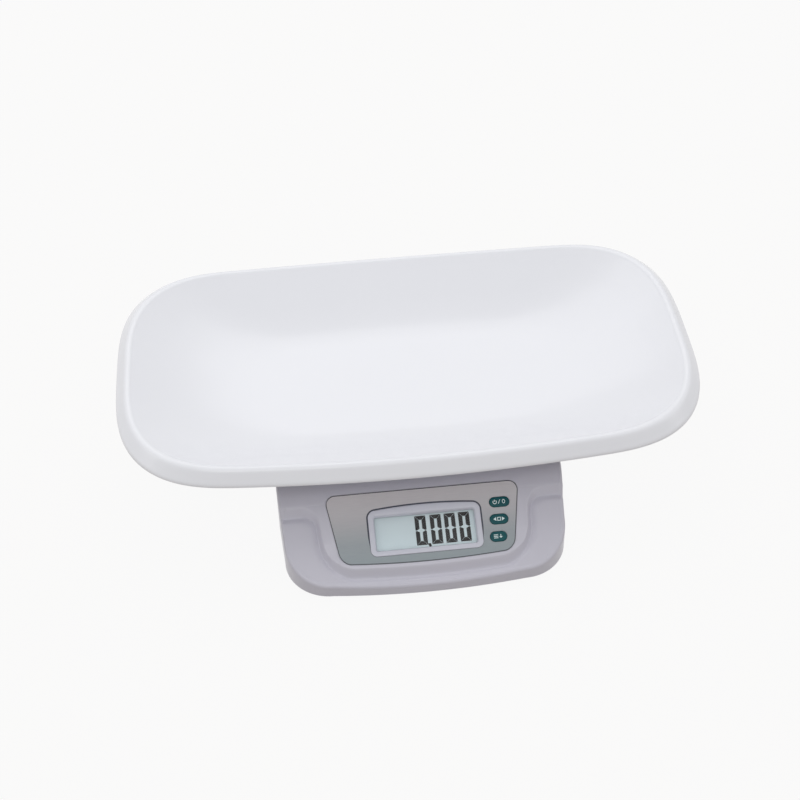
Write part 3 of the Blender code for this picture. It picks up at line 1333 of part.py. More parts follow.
def build_leads():
    cell_side = -CELL_WIDTH / 2 - GAP
    cell_x = -CELL_LENGTH / 2 + CELL_BOLT_INSET
    middle = CELL_Z + CELL_HEIGHT / 2
    floor_run = FLOOR_TOP_Z + 4 * LEAD_RADIUS
    arrival = board_arrival(cell_x)
    build_lead("load_cell_lead", [
        (cell_x, cell_side, middle), (cell_x, cell_side - 6 * LEAD_RADIUS, middle),
        (cell_x, (cell_side + arrival[0].y) / 2, floor_run), *arrival,
    ])
    half_length, half_width = compartment_half_size()
    tab_top = BATTERY_Z + CELL_RADIUS + GAP + 2 * COMPARTMENT_WALL + GAP
    tab_x = half_length - GAP - CONTACT_THICKNESS / 2
    aside = PLATE_LENGTH / 2 + 6 * LEAD_RADIUS
    build_lead("battery_lead", [
        (tab_x, COMPARTMENT_Y, tab_top), (tab_x, COMPARTMENT_Y, tab_top + 5 * LEAD_RADIUS),
        (aside, COMPARTMENT_Y - half_width, tab_top + 3 * LEAD_RADIUS),
        (aside, 0, floor_run), (aside, BASE_FRONT / 2, floor_run), *board_arrival(tab_x),
    ])


build_tray()
build_top_case()
build_bottom_case()
build_display()
build_board()
build_buttons()
build_carrier(build_load_path())
build_feet_and_case_screws()
build_batteries()
build_battery_door()
build_leads()
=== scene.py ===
"""Finishes, fine shapes, floor, light and camera for a digital baby weighing scale.

A long white tray rests on a low lavender base whose front slopes down to a display panel.
Sizes are in metres. Plan places are measured from the tray's centre, and panel places in the
panel's own plane: across, up the slope, and out of the surface.
"""
import math

import bmesh
import bpy
import numpy as np
from mathutils import Matrix


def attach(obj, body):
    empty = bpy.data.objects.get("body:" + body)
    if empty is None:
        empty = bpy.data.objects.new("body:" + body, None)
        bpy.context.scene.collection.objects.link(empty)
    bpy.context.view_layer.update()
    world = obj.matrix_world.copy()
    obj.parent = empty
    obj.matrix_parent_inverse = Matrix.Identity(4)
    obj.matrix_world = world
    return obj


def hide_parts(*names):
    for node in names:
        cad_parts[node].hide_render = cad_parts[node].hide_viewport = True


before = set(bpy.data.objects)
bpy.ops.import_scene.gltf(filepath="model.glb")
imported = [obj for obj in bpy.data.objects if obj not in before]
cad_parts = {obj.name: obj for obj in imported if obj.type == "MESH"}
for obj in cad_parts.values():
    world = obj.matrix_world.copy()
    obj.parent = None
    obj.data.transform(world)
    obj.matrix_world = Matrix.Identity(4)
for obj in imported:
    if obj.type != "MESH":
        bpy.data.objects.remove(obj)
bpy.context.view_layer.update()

MM = 0.001
TRAY_CENTRE_Y = 28 * MM

# Tray: rows of its surface from the skirt's edge over the lip and down to the floor, as
# half length, half width, fullness of the corners, height, and share of the ends' rise
TRAY_ROWS = np.array([
    [275.0, 149.5, 3.0, 98.4, 1.00],
    [274.9, 149.4, 3.0, 99.8, 1.00],
    [274.0, 148.5, 3.0, 101.6, 1.00],
    [271.4, 145.9, 3.0, 104.7, 1.00],
    [268.6, 143.1, 3.0, 108.0, 1.00],
    [266.4, 140.9, 3.0, 110.4, 1.00],
    [264.6, 139.1, 3.0, 111.5, 1.00],
    [262.6, 137.1, 3.0, 111.9, 1.00],
    [260.5, 135.2, 3.0, 111.3, 0.99],
    [258.3, 133.2, 3.0, 109.8, 0.97],
    [246.0, 123.5, 3.0, 102.6, 0.85],
    [229.0, 111.0, 3.0, 93.8, 0.66],
    [209.0, 98.5, 2.9, 85.3, 0.45],
    [190.0, 87.5, 2.9, 78.8, 0.28],
    [172.0, 78.0, 2.8, 74.2, 0.15],
    [154.0, 69.5, 2.8, 71.5, 0.06],
    [136.0, 61.0, 2.7, 70.2, 0.01],
    [100.0, 49.0, 2.6, 70.0, 0.00],
    [60.0, 31.0, 2.5, 70.0, 0.00],
    [16.0, 9.0, 2.4, 70.0, 0.00],
])
TRAY_LENGTH = 550 * MM
TRAY_END_RISE = 8.4 * MM
TRAY_WALL = 3.0 * MM
TRAY_STEPS = 6
CORNER_LENGTH_SHARE = 0.40
CORNER_WIDTH_SHARE = 0.90
SIDE_BOW_SHARE = 0.086
END_BOW_SHARE = 0.013
CORNER_COLUMNS = 64
SIDE_COLUMNS = 26
END_COLUMNS = 3
STUD_RADIUS = 4.0 * MM
STUD_PLACES = ((-84, -46), (84, -46), (84, 46), (-84, 46))
STUD_TOP_Z = 68.5 * MM
STUD_FOOT_Z = 60.5 * MM

# Base housing in plan
BASE_FRONT = -206 * MM
BASE_REAR = 100 * MM
BASE_HALF_WIDTH = 133.5 * MM
BASE_FRONT_HALF_WIDTH = 127.3 * MM
BASE_FRONT_BOW = 5.0 * MM
BASE_FRONT_CORNER = 42 * MM
BASE_REAR_CORNER = 26 * MM
CASE_WALL = 2.5 * MM
CASE_EDGE_RADIUS = 3.5 * MM
CASE_DRAFT = 0.5 * MM

# Base housing heights
SKIRT_BOTTOM_Z = 5.0 * MM
DECK_Z = 57 * MM
RIDGE_Z = 64 * MM
RIDGE_WIDTH = 14 * MM
RIDGE_BACK_SHARE = 0.29
RIDGE_SOFTNESS = 5.0 * MM

# Display panel and its raised, T-shaped area
PANEL_ANGLE = math.radians(26)
PANEL_FOOT_Y = -198 * MM
PANEL_FOOT_Z = 24 * MM
STEP_HEIGHT = 5.0 * MM
STEP_WIDTH = 4.8 * MM
STEP_VALLEY = 2.0 * MM
STEP_VALLEY_WIDTH = 3.0 * MM
RING_INSET = 0.8 * MM
SHOULDER_UP = 68 * MM
SHOULDER_RADIUS = 14 * MM
TONGUE_HALF_WIDTH = 99 * MM
TONGUE_BOTTOM_HALF_WIDTH = 93 * MM
TONGUE_BOTTOM_UP = 4.5 * MM
TONGUE_CORNER = 26 * MM
TONGUE_BOW = 4.0 * MM
RIDGE_Y = PANEL_FOOT_Y + (RIDGE_Z - PANEL_FOOT_Z) / math.tan(PANEL_ANGLE)

# Label plate
LABEL_TOP_UP = 78.5 * MM
LABEL_BOTTOM_UP = 13.4 * MM
LABEL_TOP_HALF_WIDTH = 90.5 * MM
LABEL_BOTTOM_HALF_WIDTH = 79.5 * MM
LABEL_CORNER = 10.5 * MM
LABEL_BOW = 3.4 * MM
LABEL_THICKNESS = 0.5 * MM
LABEL_RECESS = 0.8 * MM
LABEL_CHAMFER = 0.12 * MM
LABEL_LINE = 0.7 * MM
LABEL_LINE_INSET = 0.15 * MM
PRINT_AND_SHADOW_HEIGHT = 0.03 * MM

# Display window, its raised frame and its digits
WINDOW_HALF_WIDTH = 46 * MM
WINDOW_HALF_HEIGHT = 15.5 * MM
WINDOW_CENTRE_UP = 39 * MM
WINDOW_CORNER = 1.5 * MM
FRAME_SIDE = 5.7 * MM
FRAME_TOP = 5.8 * MM
FRAME_BOTTOM = 5.5 * MM
FRAME_ARCH = 3.0 * MM
FRAME_CORNER = 6.0 * MM
FRAME_CLEARANCE = 0.03 * MM
# Painted shadow round the frame: the band's inner and outer reach beyond the frame's outline, and its least
# width, as a share, at the bottom
FRAME_SHADOW_START = 0.05 * MM
FRAME_SHADOW_END = 1.5 * MM
FRAME_SHADOW_THINNEST = 0.1
GLASS_TOP = -4.1 * MM
DIGIT_LEFTS = (-9.0, 5.1, 18.2, 31.4)
DIGIT_WIDTH = 10.2 * MM
DIGIT_HEIGHT = 27.5 * MM
DIGIT_BOTTOM_UP = 25.8 * MM
DIGIT_STROKE = 3.8 * MM
DIGIT_BREAK = 0.12 * MM
DIGIT_LOW = 0.005 * MM
DIGIT_HIGH = 0.04 * MM
DECIMAL_MARK = ((0.6, 27.0), (3.8, 27.0), (4.4, 24.6), (2.4, 23.0), (1.8, 25.0))

# Push buttons, from the upper one to the lower one
BUTTON_NAMES = ("button_zero", "button_mode", "button_memory")
BUTTON_WIDTHS = (18.6, 17.1, 15.5)
BUTTON_ACROSS = (70.4, 68.2, 65.8)
BUTTON_TOP_UP = 58.7 * MM
BUTTON_PITCH = 16.1 * MM
BUTTON_HEIGHT = 9.4 * MM
BUTTON_CLEARANCE = 0.3 * MM
STEM_WIDTH = 3.2 * MM
STEM_FOOT = -5.5 * MM
FLANGE_GROW = 1.2 * MM
FLANGE_FOOT = -4.3 * MM
FLANGE_TOP = -2.8 * MM
SIGN_LOW = 0.78 * MM
SIGN_HIGH = 0.86 * MM

# Floor, light and camera
FLOOR_REACH = 6.0
FLOOR_Z = -0.05 * MM
FLOOR_GLOW = 0.93
AIR_LIGHT = 0.56
SOFTBOXES = (
    ("overhead_softbox", (-0.2, 1.1, 1.9), (0, 0.02, 0.05), (2.4, 1.8), 15),
    ("left_softbox", (-1.8, -0.2, 1.2), (0, -0.05, 0.05), (0.8, 0.8), 2.5),
    ("right_softbox", (1.8, -0.3, 1.2), (0, -0.05, 0.05), (0.8, 0.8), 2.5),
    ("front_softbox", (-0.3, -1.3, 1.9), (0, -0.1, 0.05), (0.9, 0.6), 4.5),
)
CAMERA_TURNS = (45.950, -5.515, 0.991)
CAMERA_TARGET = np.array([-7.169, 13.528, 60.0]) * MM
CAMERA_DISTANCE = 1368.04 * MM
CAMERA_SENSOR = 36
CAMERA_LENS = 63


# Mesh pieces from arrays of points

def grid_quads(rows, columns, closed=True):
    """Corner indices of a grid's quads: a point, its neighbour, and the two a row on.

    A closed grid joins the last column of each row to the first.
    """
    starts = np.arange(rows - 1)[:, None] * columns
    here = np.arange(columns if closed else columns - 1)[None, :]
    there = (here + 1) % columns
    onward = starts + columns
    quads = np.stack([starts + here, starts + there, onward + there, onward + here], axis=-1)
    return quads.reshape(-1, 4).tolist()


def end_fan(first, columns, centre, backwards=False):
    """Triangles from each edge of an end ring to one centre point."""
    here = np.arange(columns)
    there = (here + 1) % columns
    middle = np.full(columns, centre)
    sides = (there, here) if backwards else (here, there)
    return np.stack([first + sides[0], first + sides[1], middle], axis=-1).tolist()


def piece(name, points, faces, finish, body, stands_for=(), slot=None, outward=True, sharp=35):
    """A named mesh at the origin that rides on a body; a closed one gets its faces turned outward."""
    mesh = bpy.data.meshes.new(name)
    mesh.from_pydata(np.asarray(points).reshape(-1, 3).tolist(), [], faces)
    made = bpy.data.objects.new(name, mesh)
    bpy.context.scene.collection.objects.link(made)
    if outward:
        turn_outward(mesh)
    smooth(mesh, sharp)
    mesh.materials.append(finish)
    if body is not None:
        hand_over(made, body, stands_for)
    return made


def hand_over(made, body, stands_for):
    """Ties a piece to its body and hides the solids it stands for."""
    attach(made, body)
    if stands_for:
        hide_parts(*stands_for)


def turn_outward(mesh):
    shape = bmesh.new()
    shape.from_mesh(mesh)
    bmesh.ops.remove_doubles(shape, verts=shape.verts, dist=0.000001)
    bmesh.ops.recalc_face_normals(shape, faces=shape.faces)
    shape.to_mesh(mesh)
    shape.free()


def smooth(mesh, sharp):
    mesh.shade_smooth()
    mesh.set_sharp_from_angle(angle=math.radians(sharp))


def closed_stack(rings):
    """Points and faces of a solid through closed rings, each end closed by a fan about its mean."""
    rows, columns = rings.shape[:2]
    points = np.concatenate([rings.reshape(-1, 3), rings[:1].mean(axis=1), rings[-1:].mean(axis=1)])
    faces = grid_quads(rows, columns)
    faces += end_fan(0, columns, rows * columns, backwards=True)
    faces += end_fan((rows - 1) * columns, columns, rows * columns + 1)
    return points, faces


def ring_band(rings):
    """Points and faces of a closed band: rings of equal counts, the last one joined to the first."""
    rows, columns = rings.shape[:2]
    looped = np.concatenate([rings, rings[:1]])
    faces = np.array(grid_quads(rows + 1, columns)) % (rows * columns)
    return looped[:-1].reshape(-1, 3), faces.tolist()


def cut_away(made, *tools):
    """Takes closed tools out of a piece, makes the result its mesh and removes the tools."""
    for tool in tools:
        step = made.modifiers.new(tool.name, "BOOLEAN")
        step.operation = "DIFFERENCE"
        step.object = tool
        step.solver = "EXACT"
    settle(made)
    for tool in tools:
        bpy.data.objects.remove(tool, do_unlink=True)


def settle(made):
    """Makes the modifiers' result the piece's own mesh."""
    bpy.context.view_layer.update()
    result = bpy.data.meshes.new_from_object(made.evaluated_get(bpy.context.evaluated_depsgraph_get()))
    made.modifiers.clear()
    made.data = result


# Finishes

def tint(red, green, blue):
    """Linear colour of an 8-bit screen colour: the screen's curve undone for each channel."""
    value = np.array([red, green, blue]) / 255
    linear = np.where(value <= 0.04045, value / 12.92, ((value + 0.055) / 1.055) ** 2.4)
    return (*linear.tolist(), 1.0)


def blank_finish(name, roughness, metallic=0.0, **sockets):
    """A material with one shader, its even values set on the shader itself."""
    made = bpy.data.materials.new(name)
    made.use_nodes = True
    shader = made.node_tree.nodes["Principled BSDF"]
    shader.inputs["Roughness"].default_value = roughness
    shader.inputs["Metallic"].default_value = metallic
    for socket, value in sockets.items():
        shader.inputs[socket.replace("_", " ")].default_value = value
    return made, made.node_tree.nodes, made.node_tree.links, shader


def noise(nodes, links, scale, detail=3.0, stretch=(1, 1, 1), turn=(0, 0, 0)):
    """Noise on the piece's own coordinates, turned and stretched by a mapping."""
    place = nodes.new("ShaderNodeTexCoord")
    mapping = nodes.new("ShaderNodeMapping")
    mapping.inputs["Rotation"].default_value = turn
    mapping.inputs["Scale"].default_value = stretch
    pattern = nodes.new("ShaderNodeTexNoise")
    pattern.inputs["Scale"].default_value = scale
    pattern.inputs["Detail"].default_value = detail
    links.new(place.outputs["Object"], mapping.inputs["Vector"])
    links.new(mapping.outputs["Vector"], pattern.inputs["Vector"])
    return pattern.outputs["Fac"]


def between(nodes, links, value, low, high):
    """A noise value spread over a narrow range about its middle."""
    spread = nodes.new("ShaderNodeMapRange")
    spread.inputs["From Min"].default_value = 0.3
    spread.inputs["From Max"].default_value = 0.7
    spread.inputs["To Min"].default_value = low
    spread.inputs["To Max"].default_value = high
    links.new(value, spread.inputs["Value"])
    return spread.outputs["Result"]


def shades(nodes, links, value, stops):
    """Colours along a value: a ramp through (place, colour) stops."""
    ramp = nodes.new("ShaderNodeValToRGB")
    band = ramp.color_ramp
    while len(band.elements) < len(stops):
        band.elements.new(0.5)
    for element, (place, colour) in zip(band.elements, stops):
        element.position = place
        element.color = colour
    links.new(value, ramp.inputs["Fac"])
    return ramp.outputs["Color"]


def relief(nodes, links, shader, value, height):
    """Raises the surface by a pattern of the given height."""
    bump = nodes.new("ShaderNodeBump")
    bump.inputs["Strength"].default_value = 0.6
    bump.inputs["Distance"].default_value = height
    links.new(value, bump.inputs["Height"])
    links.new(bump.outputs["Normal"], shader.inputs["Normal"])


def moulded(name, shade, other, roughness, grain=1500, height=0.004 * MM, patch=9, **sockets):
    """Moulded plastic: two close shades drift in broad patches, its gloss varies, its grain is fine."""
    made, nodes, links, shader = blank_finish(name, roughness, **sockets)
    drift = noise(nodes, links, patch, 2.0)
    links.new(shades(nodes, links, drift, ((0.3, shade), (0.7, other))), shader.inputs["Base Color"])
    gloss = between(nodes, links, noise(nodes, links, patch * 3, 1.0), roughness * 0.95, roughness * 1.05)
    links.new(gloss, shader.inputs["Roughness"])
    relief(nodes, links, shader, noise(nodes, links, grain, 2.0), height)
    return made


def drawn_metal(name, shade, other, roughness, stretch, grain=700, height=0.003 * MM, metallic=1.0):
    """Drawn or milled metal: fine streaks along one direction in colour, gloss and relief."""
    made, nodes, links, shader = blank_finish(name, roughness, metallic)
    streaks = noise(nodes, links, grain, 3.0, stretch)
    links.new(shades(nodes, links, streaks, ((0.3, shade), (0.7, other))), shader.inputs["Base Color"])
    links.new(between(nodes, links, streaks, roughness * 0.8, roughness * 1.25), shader.inputs["Roughness"])
    relief(nodes, links, shader, streaks, height)
    return made


def along_slope(nodes, links, low_up, high_up):
    """Share of the way up the panel: the place turned into the panel's plane, its second axis."""
    place = nodes.new("ShaderNodeTexCoord")
    turned = nodes.new("ShaderNodeMapping")
    turned.vector_type = "TEXTURE"
    turned.inputs["Location"].default_value = (0, PANEL_FOOT_Y + TRAY_CENTRE_Y, PANEL_FOOT_Z)
    turned.inputs["Rotation"].default_value = (PANEL_ANGLE, 0, 0)
    parts = nodes.new("ShaderNodeSeparateXYZ")
    share = nodes.new("ShaderNodeMapRange")
    share.inputs["From Min"].default_value = low_up
    share.inputs["From Max"].default_value = high_up
    links.new(place.outputs["Object"], turned.inputs["Vector"])
    links.new(turned.outputs["Vector"], parts.inputs["Vector"])
    links.new(parts.outputs["Y"], share.inputs["Value"])
    return share.outputs["Result"]


def silver_film_painted_light():
    """The label's film: silver with a fine grain drawn across; its colour is painted reflection and painted
    light, darker and cooler below, lighter and warmer above.
    """
    made, nodes, links, shader = blank_finish("label_silver_film", 0.45, 0.2)
    up = along_slope(nodes, links, LABEL_BOTTOM_UP, LABEL_TOP_UP)
    # Painted reflection and painted light: cool darker grey at the bottom to light warm grey at the top, the
    # upper part made lighter to make up for the shade the tray casts on it
    base = shades(nodes, links, up, (
        (0.0, tint(146, 155, 159)), (0.28, tint(154, 160, 164)),
        (0.62, tint(184, 182, 185)), (1.0, tint(214, 209, 211)),
    ))
    streaks = noise(nodes, links, 900, 3.0, (0.12, 1, 1))
    mix = nodes.new("ShaderNodeMix")
    mix.data_type = "RGBA"
    mix.blend_type = "MULTIPLY"
    mix.inputs["Factor"].default_value = 1.0
    links.new(base, mix.inputs["A"])
    grain = shades(nodes, links, streaks, ((0.3, tint(249, 249, 250)), (0.7, tint(255, 255, 255))))
    links.new(grain, mix.inputs["B"])
    links.new(mix.outputs["Result"], shader.inputs["Base Color"])
    links.new(between(nodes, links, streaks, 0.4, 0.5), shader.inputs["Roughness"])
    relief(nodes, links, shader, streaks, 0.002 * MM)
    return made


def display_glass_painted_shade():
    """The display's grey-green polariser, nearly even, with a painted shadow: a shade darker towards its upper
    edge, where the frame's upper side shades it.
    """
    made, nodes, links, shader = blank_finish("display_glass_painted_shade", 0.35)
    low, high = WINDOW_CENTRE_UP - WINDOW_HALF_HEIGHT, WINDOW_CENTRE_UP + WINDOW_HALF_HEIGHT
    up = along_slope(nodes, links, low, high)
    # Painted shadow: the colour darkens over the upper quarter, towards the edge under the frame
    links.new(shades(nodes, links, up, (
        (0.0, tint(222, 238, 243)), (0.75, tint(218, 233, 238)), (1.0, tint(208, 222, 227)),
    )), shader.inputs["Base Color"])
    relief(nodes, links, shader, noise(nodes, links, 2200, 2.0), 0.001 * MM)
    links.new(between(nodes, links, noise(nodes, links, 60, 3.0), 0.3, 0.4), shader.inputs["Roughness"])
    return made


def clear_window():
    """The clear window: mostly see-through, glossy, with a faint haze that drifts over it."""
    made, nodes, links, shader = blank_finish("clear_window", 0.06, IOR=1.49, Specular_IOR_Level=0.15)
    links.new(between(nodes, links, noise(nodes, links, 25, 2.0), 0.02, 0.04), shader.inputs["Alpha"])
    links.new(shades(nodes, links, noise(nodes, links, 40, 2.0), (
        (0.3, tint(236, 243, 244)), (0.7, tint(244, 248, 248)),
    )), shader.inputs["Base Color"])
    return made


def board_mask():
    """Green solder mask: dull tracks run along and across it as two sets of bands."""
    made, nodes, links, shader = blank_finish("board_mask", 0.4)
    tracks = nodes.new("ShaderNodeTexBrick")
    tracks.inputs["Scale"].default_value = 160
    tracks.inputs["Color1"].default_value = tint(20, 96, 50)
    tracks.inputs["Color2"].default_value = tint(26, 108, 58)
    tracks.inputs["Mortar"].default_value = tint(52, 132, 78)
    tracks.inputs["Mortar Size"].default_value = 0.03
    place = nodes.new("ShaderNodeTexCoord")
    links.new(place.outputs["Object"], tracks.inputs["Vector"])
    links.new(tracks.outputs["Color"], shader.inputs["Base Color"])
    relief(nodes, links, shader, tracks.outputs["Fac"], 0.01 * MM)
    return made


TRAY_WHITE = moulded("tray_gloss_white", tint(240, 241, 246), tint(241, 242, 247), 0.24, 700, 0.001 * MM, 4)
CASE_LAVENDER = moulded("case_pale_lavender", tint(203, 202, 213), tint(205, 203, 214),
                        0.3, 1700, 0.002 * MM, 6)
CASE_UNDERSIDE = moulded("case_underside", tint(178, 176, 188), tint(184, 181, 193), 0.42, 1200, 0.008 * MM)
LABEL_FILM_PAINTED_LIGHT = silver_film_painted_light()
LABEL_EDGE = moulded("label_dark_line", tint(72, 74, 80), tint(80, 82, 88), 0.45, 2400, 0.002 * MM)
# Painted shadow: a dark band round the frame's top and sides, where the frame's edge shades the label
FRAME_PAINTED_SHADOW = moulded("frame_painted_shadow", tint(58, 60, 74), tint(66, 68, 82), 0.4, 2400, 0.002 * MM)
FRAME_PALE = moulded("frame_pale_lavender", tint(208, 209, 221), tint(211, 212, 223),
                     0.26, 1700, 0.002 * MM, 6)
BUTTON_TEAL = moulded("button_deep_teal", tint(8, 76, 82), tint(12, 84, 89), 0.36, 2600, 0.004 * MM, 60,
                     Specular_IOR_Level=0.25)
SIGN_WHITE = moulded("sign_white_ink", tint(226, 240, 240), tint(232, 245, 245), 0.5, 3000, 0.002 * MM, 90)
DISPLAY_GLASS_PAINTED_SHADE = display_glass_painted_shade()
DIGIT_BLACK = moulded("digit_black", tint(26, 20, 22), tint(30, 24, 26), 0.6, 3000, 0.001 * MM, 120,
                      Specular_IOR_Level=0.1)
CLEAR_WINDOW = clear_window()
HOLDER_WHITE = moulded("holder_white", tint(222, 222, 218), tint(228, 227, 223), 0.5, 1200, 0.01 * MM)
BOARD_MASK = board_mask()
BLACK_PLASTIC = moulded("black_plastic", tint(32, 32, 33), tint(40, 40, 41), 0.5, 1800, 0.01 * MM, 90)
RUBBER_GREY = moulded("rubber_grey", tint(78, 78, 82), tint(88, 88, 92), 0.82, 2200, 0.02 * MM, 60)
PAD_RUBBER = moulded("pad_pale_rubber", tint(120, 120, 124), tint(130, 130, 134), 0.85, 2000, 0.02 * MM, 60)
SOFT_STRIP = moulded("soft_strip_pink", tint(218, 160, 150), tint(226, 170, 160), 0.7, 1500, 0.02 * MM, 90)
STEEL = drawn_metal("zinc_steel", tint(176, 178, 180), tint(196, 198, 200), 0.32, (1, 1, 0.2))
ALUMINIUM = drawn_metal("milled_aluminium", tint(196, 198, 200), tint(212, 214, 216), 0.38, (0.1, 1, 1))
PLATE_STEEL = drawn_metal("rolled_plate_steel", tint(168, 170, 172), tint(186, 188, 190), 0.4, (0.12, 1, 1))
CONTACT_STEEL = drawn_metal("contact_steel", tint(206, 204, 194), tint(220, 218, 210), 0.26, (1, 1, 0.2))
BATTERY_WRAP = moulded("battery_wrap", tint(52, 62, 78), tint(60, 70, 86), 0.34, 900, 0.004 * MM, 120)
LEAD_GREY = moulded("lead_grey", tint(70, 70, 74), tint(80, 80, 84), 0.6, 1600, 0.01 * MM, 90)


# Tray

def eased(table, steps):
    """Rows between the rows of a table, on a Catmull-Rom cubic through it.

    Row = half of (2b + (c - a)t + (2a - 5b + 4c - d)t^2 + (3b - a - 3c + d)t^3) for four rows in turn.
    """
    held = np.concatenate([2 * table[:1] - table[1:2], table, 2 * table[-1:] - table[-2:-1]])
    t = np.linspace(0, 1, steps, endpoint=False)[None, :, None]
    a, b, c, d = (held[i:len(held) - 3 + i, None, :] for i in range(4))
    bend = (2 * a - 5 * b + 4 * c - d) * t ** 2 + (3 * b - a - 3 * c + d) * t ** 3
    rows = 0.5 * (2 * b + (c - a) * t + bend)
    return np.concatenate([rows.reshape(-1, table.shape[1]), table[-1:]])


def tray_quarter(fullness):
    """A quarter of each row's plan on unit sides: a short straight end, a round corner, a long side.

    In the corner a direction's point is (cos, sin) over (cos^n + sin^n)^(1/n), scaled to the corner's
    shares; then each side is bowed by a share of the square of the place along it.
    """
    turn = np.linspace(0, np.pi / 2, CORNER_COLUMNS)[None, :]
    reach = (np.cos(turn) ** fullness + np.sin(turn) ** fullness) ** (-1 / fullness)
    corner_x = 1 - CORNER_LENGTH_SHARE * (1 - np.cos(turn) * reach)
    corner_y = 1 - CORNER_WIDTH_SHARE * (1 - np.sin(turn) * reach)
    rows = len(fullness)
    end = np.linspace(0, 1 - CORNER_WIDTH_SHARE, END_COLUMNS, endpoint=False)
    side = run(1 - CORNER_LENGTH_SHARE, 0, SIDE_COLUMNS)
    x = np.concatenate([np.ones((rows, END_COLUMNS)), corner_x, np.tile(side, (rows, 1))], axis=1)
    y = np.concatenate([np.tile(end, (rows, 1)), corner_y, np.ones((rows, SIDE_COLUMNS))], axis=1)
    return x * (1 - END_BOW_SHARE * y ** 2), y * (1 - SIDE_BOW_SHARE * x ** 2)


def tray_surface():
    """The rows' rings: the quarter turned over into all four corners and scaled to the row's half
    length and half width; the height is the row's own plus a share of the ends' rise, which grows
    with the square of the place along the tray.
    """
    length, width, fullness, height, share = (column[:, None] for column in eased(TRAY_ROWS, TRAY_STEPS).T)
    x, y = tray_quarter(fullness)
    half_x, half_y = np.hstack([x, -x[:, -2::-1]]), np.hstack([y, y[:, -2::-1]])
    x = np.hstack([half_x, half_x[:, -2:0:-1]]) * length * MM
    y = np.hstack([half_y, -half_y[:, -2:0:-1]]) * width * MM
    z = height * MM + share * TRAY_END_RISE * (2 * x / TRAY_LENGTH) ** 2
    return np.stack([x, y + TRAY_CENTRE_Y, z], axis=-1)


def make_tray():
    """The tray's wall, its skirt edge and underside, and the four studs that sit in the carrier."""
    rings = tray_surface()
    rows, columns = rings.shape[:2]
    points = np.concatenate([rings.reshape(-1, 3), rings[-1:].mean(axis=1)])
    faces = grid_quads(rows, columns) + end_fan((rows - 1) * columns, columns, rows * columns)
    tray = piece("tray_shell", points, faces, TRAY_WHITE, None, outward=False)
    wall = tray.modifiers.new("wall", "SOLIDIFY")
    wall.thickness = TRAY_WALL
    wall.offset = -1.0
    wall.use_even_offset = True
    edge = tray.modifiers.new("skirt_edge", "BEVEL")
    edge.width = 0.8 * MM
    edge.segments = 3
    edge.limit_method = "ANGLE"
    edge.angle_limit = math.radians(50)
    settle(tray)
    smooth(tray.data, 40)
    hand_over(tray, "tray", ["tray"])
    profile = np.array([
        [STUD_RADIUS, STUD_TOP_Z], [STUD_RADIUS, STUD_FOOT_Z + 1.2 * MM],
        [STUD_RADIUS * 0.86, STUD_FOOT_Z + 0.35 * MM], [STUD_RADIUS * 0.62, STUD_FOOT_Z],
    ])
    for i, (x, y) in enumerate(STUD_PLACES):
        rings = turned_rings(profile, (x * MM, y * MM + TRAY_CENTRE_Y), 40)
        piece(f"tray_stud_{i + 1}", *closed_stack(rings), TRAY_WHITE, "tray", slot="tray_white")


def turned_rings(profile, centre, columns):
    """A profile of (radius, height) turned round an upright axis: radius x cos, radius x sin, height."""
    turn = np.linspace(0, 2 * np.pi, columns, endpoint=False)[None, :]
    radius, height = profile[:, :1], profile[:, 1:]
    x = centre[0] + radius * np.cos(turn)
    return np.stack([x, centre[1] + radius * np.sin(turn), np.broadcast_to(height, x.shape)], axis=-1)


# Base housing

def smoothstep(share):
    held = np.clip(share, 0, 1)
    return held * held * (3 - 2 * held)


def up_to_y(up):
    """Plan place of a height along the panel's slope."""
    return PANEL_FOOT_Y + up * math.cos(PANEL_ANGLE)


def tongue_half_width(y):
    """Half width of the raised tongue: a straight taper from its lower end to the shoulder."""
    low, high = up_to_y(TONGUE_BOTTOM_UP), up_to_y(SHOULDER_UP)
    return TONGUE_BOTTOM_HALF_WIDTH + (TONGUE_HALF_WIDTH - TONGUE_BOTTOM_HALF_WIDTH) * (y - low) / (high - low)


def outside_raised(x, y):
    """Signed distance in plan to the edge of the raised T, negative inside it.

    The tongue is where its sides and bowed lower edge overlap, with a round corner; the T is the
    tongue joined to all that lies behind the shoulder, with a round hollow between them.
    """
    side = np.abs(x) - tongue_half_width(y)
    bottom = up_to_y(TONGUE_BOTTOM_UP) + TONGUE_BOW * (x / TONGUE_BOTTOM_HALF_WIDTH) ** 2 - y
    corner = np.hypot(np.maximum(TONGUE_CORNER + side, 0), np.maximum(TONGUE_CORNER + bottom, 0))
    tongue = np.minimum(-TONGUE_CORNER, np.maximum(side, bottom)) + corner
    upper = up_to_y(SHOULDER_UP) - y
    hollow = np.hypot(np.maximum(SHOULDER_RADIUS - tongue, 0), np.maximum(SHOULDER_RADIUS - upper, 0))
    return np.maximum(SHOULDER_RADIUS, np.minimum(tongue, upper)) - hollow


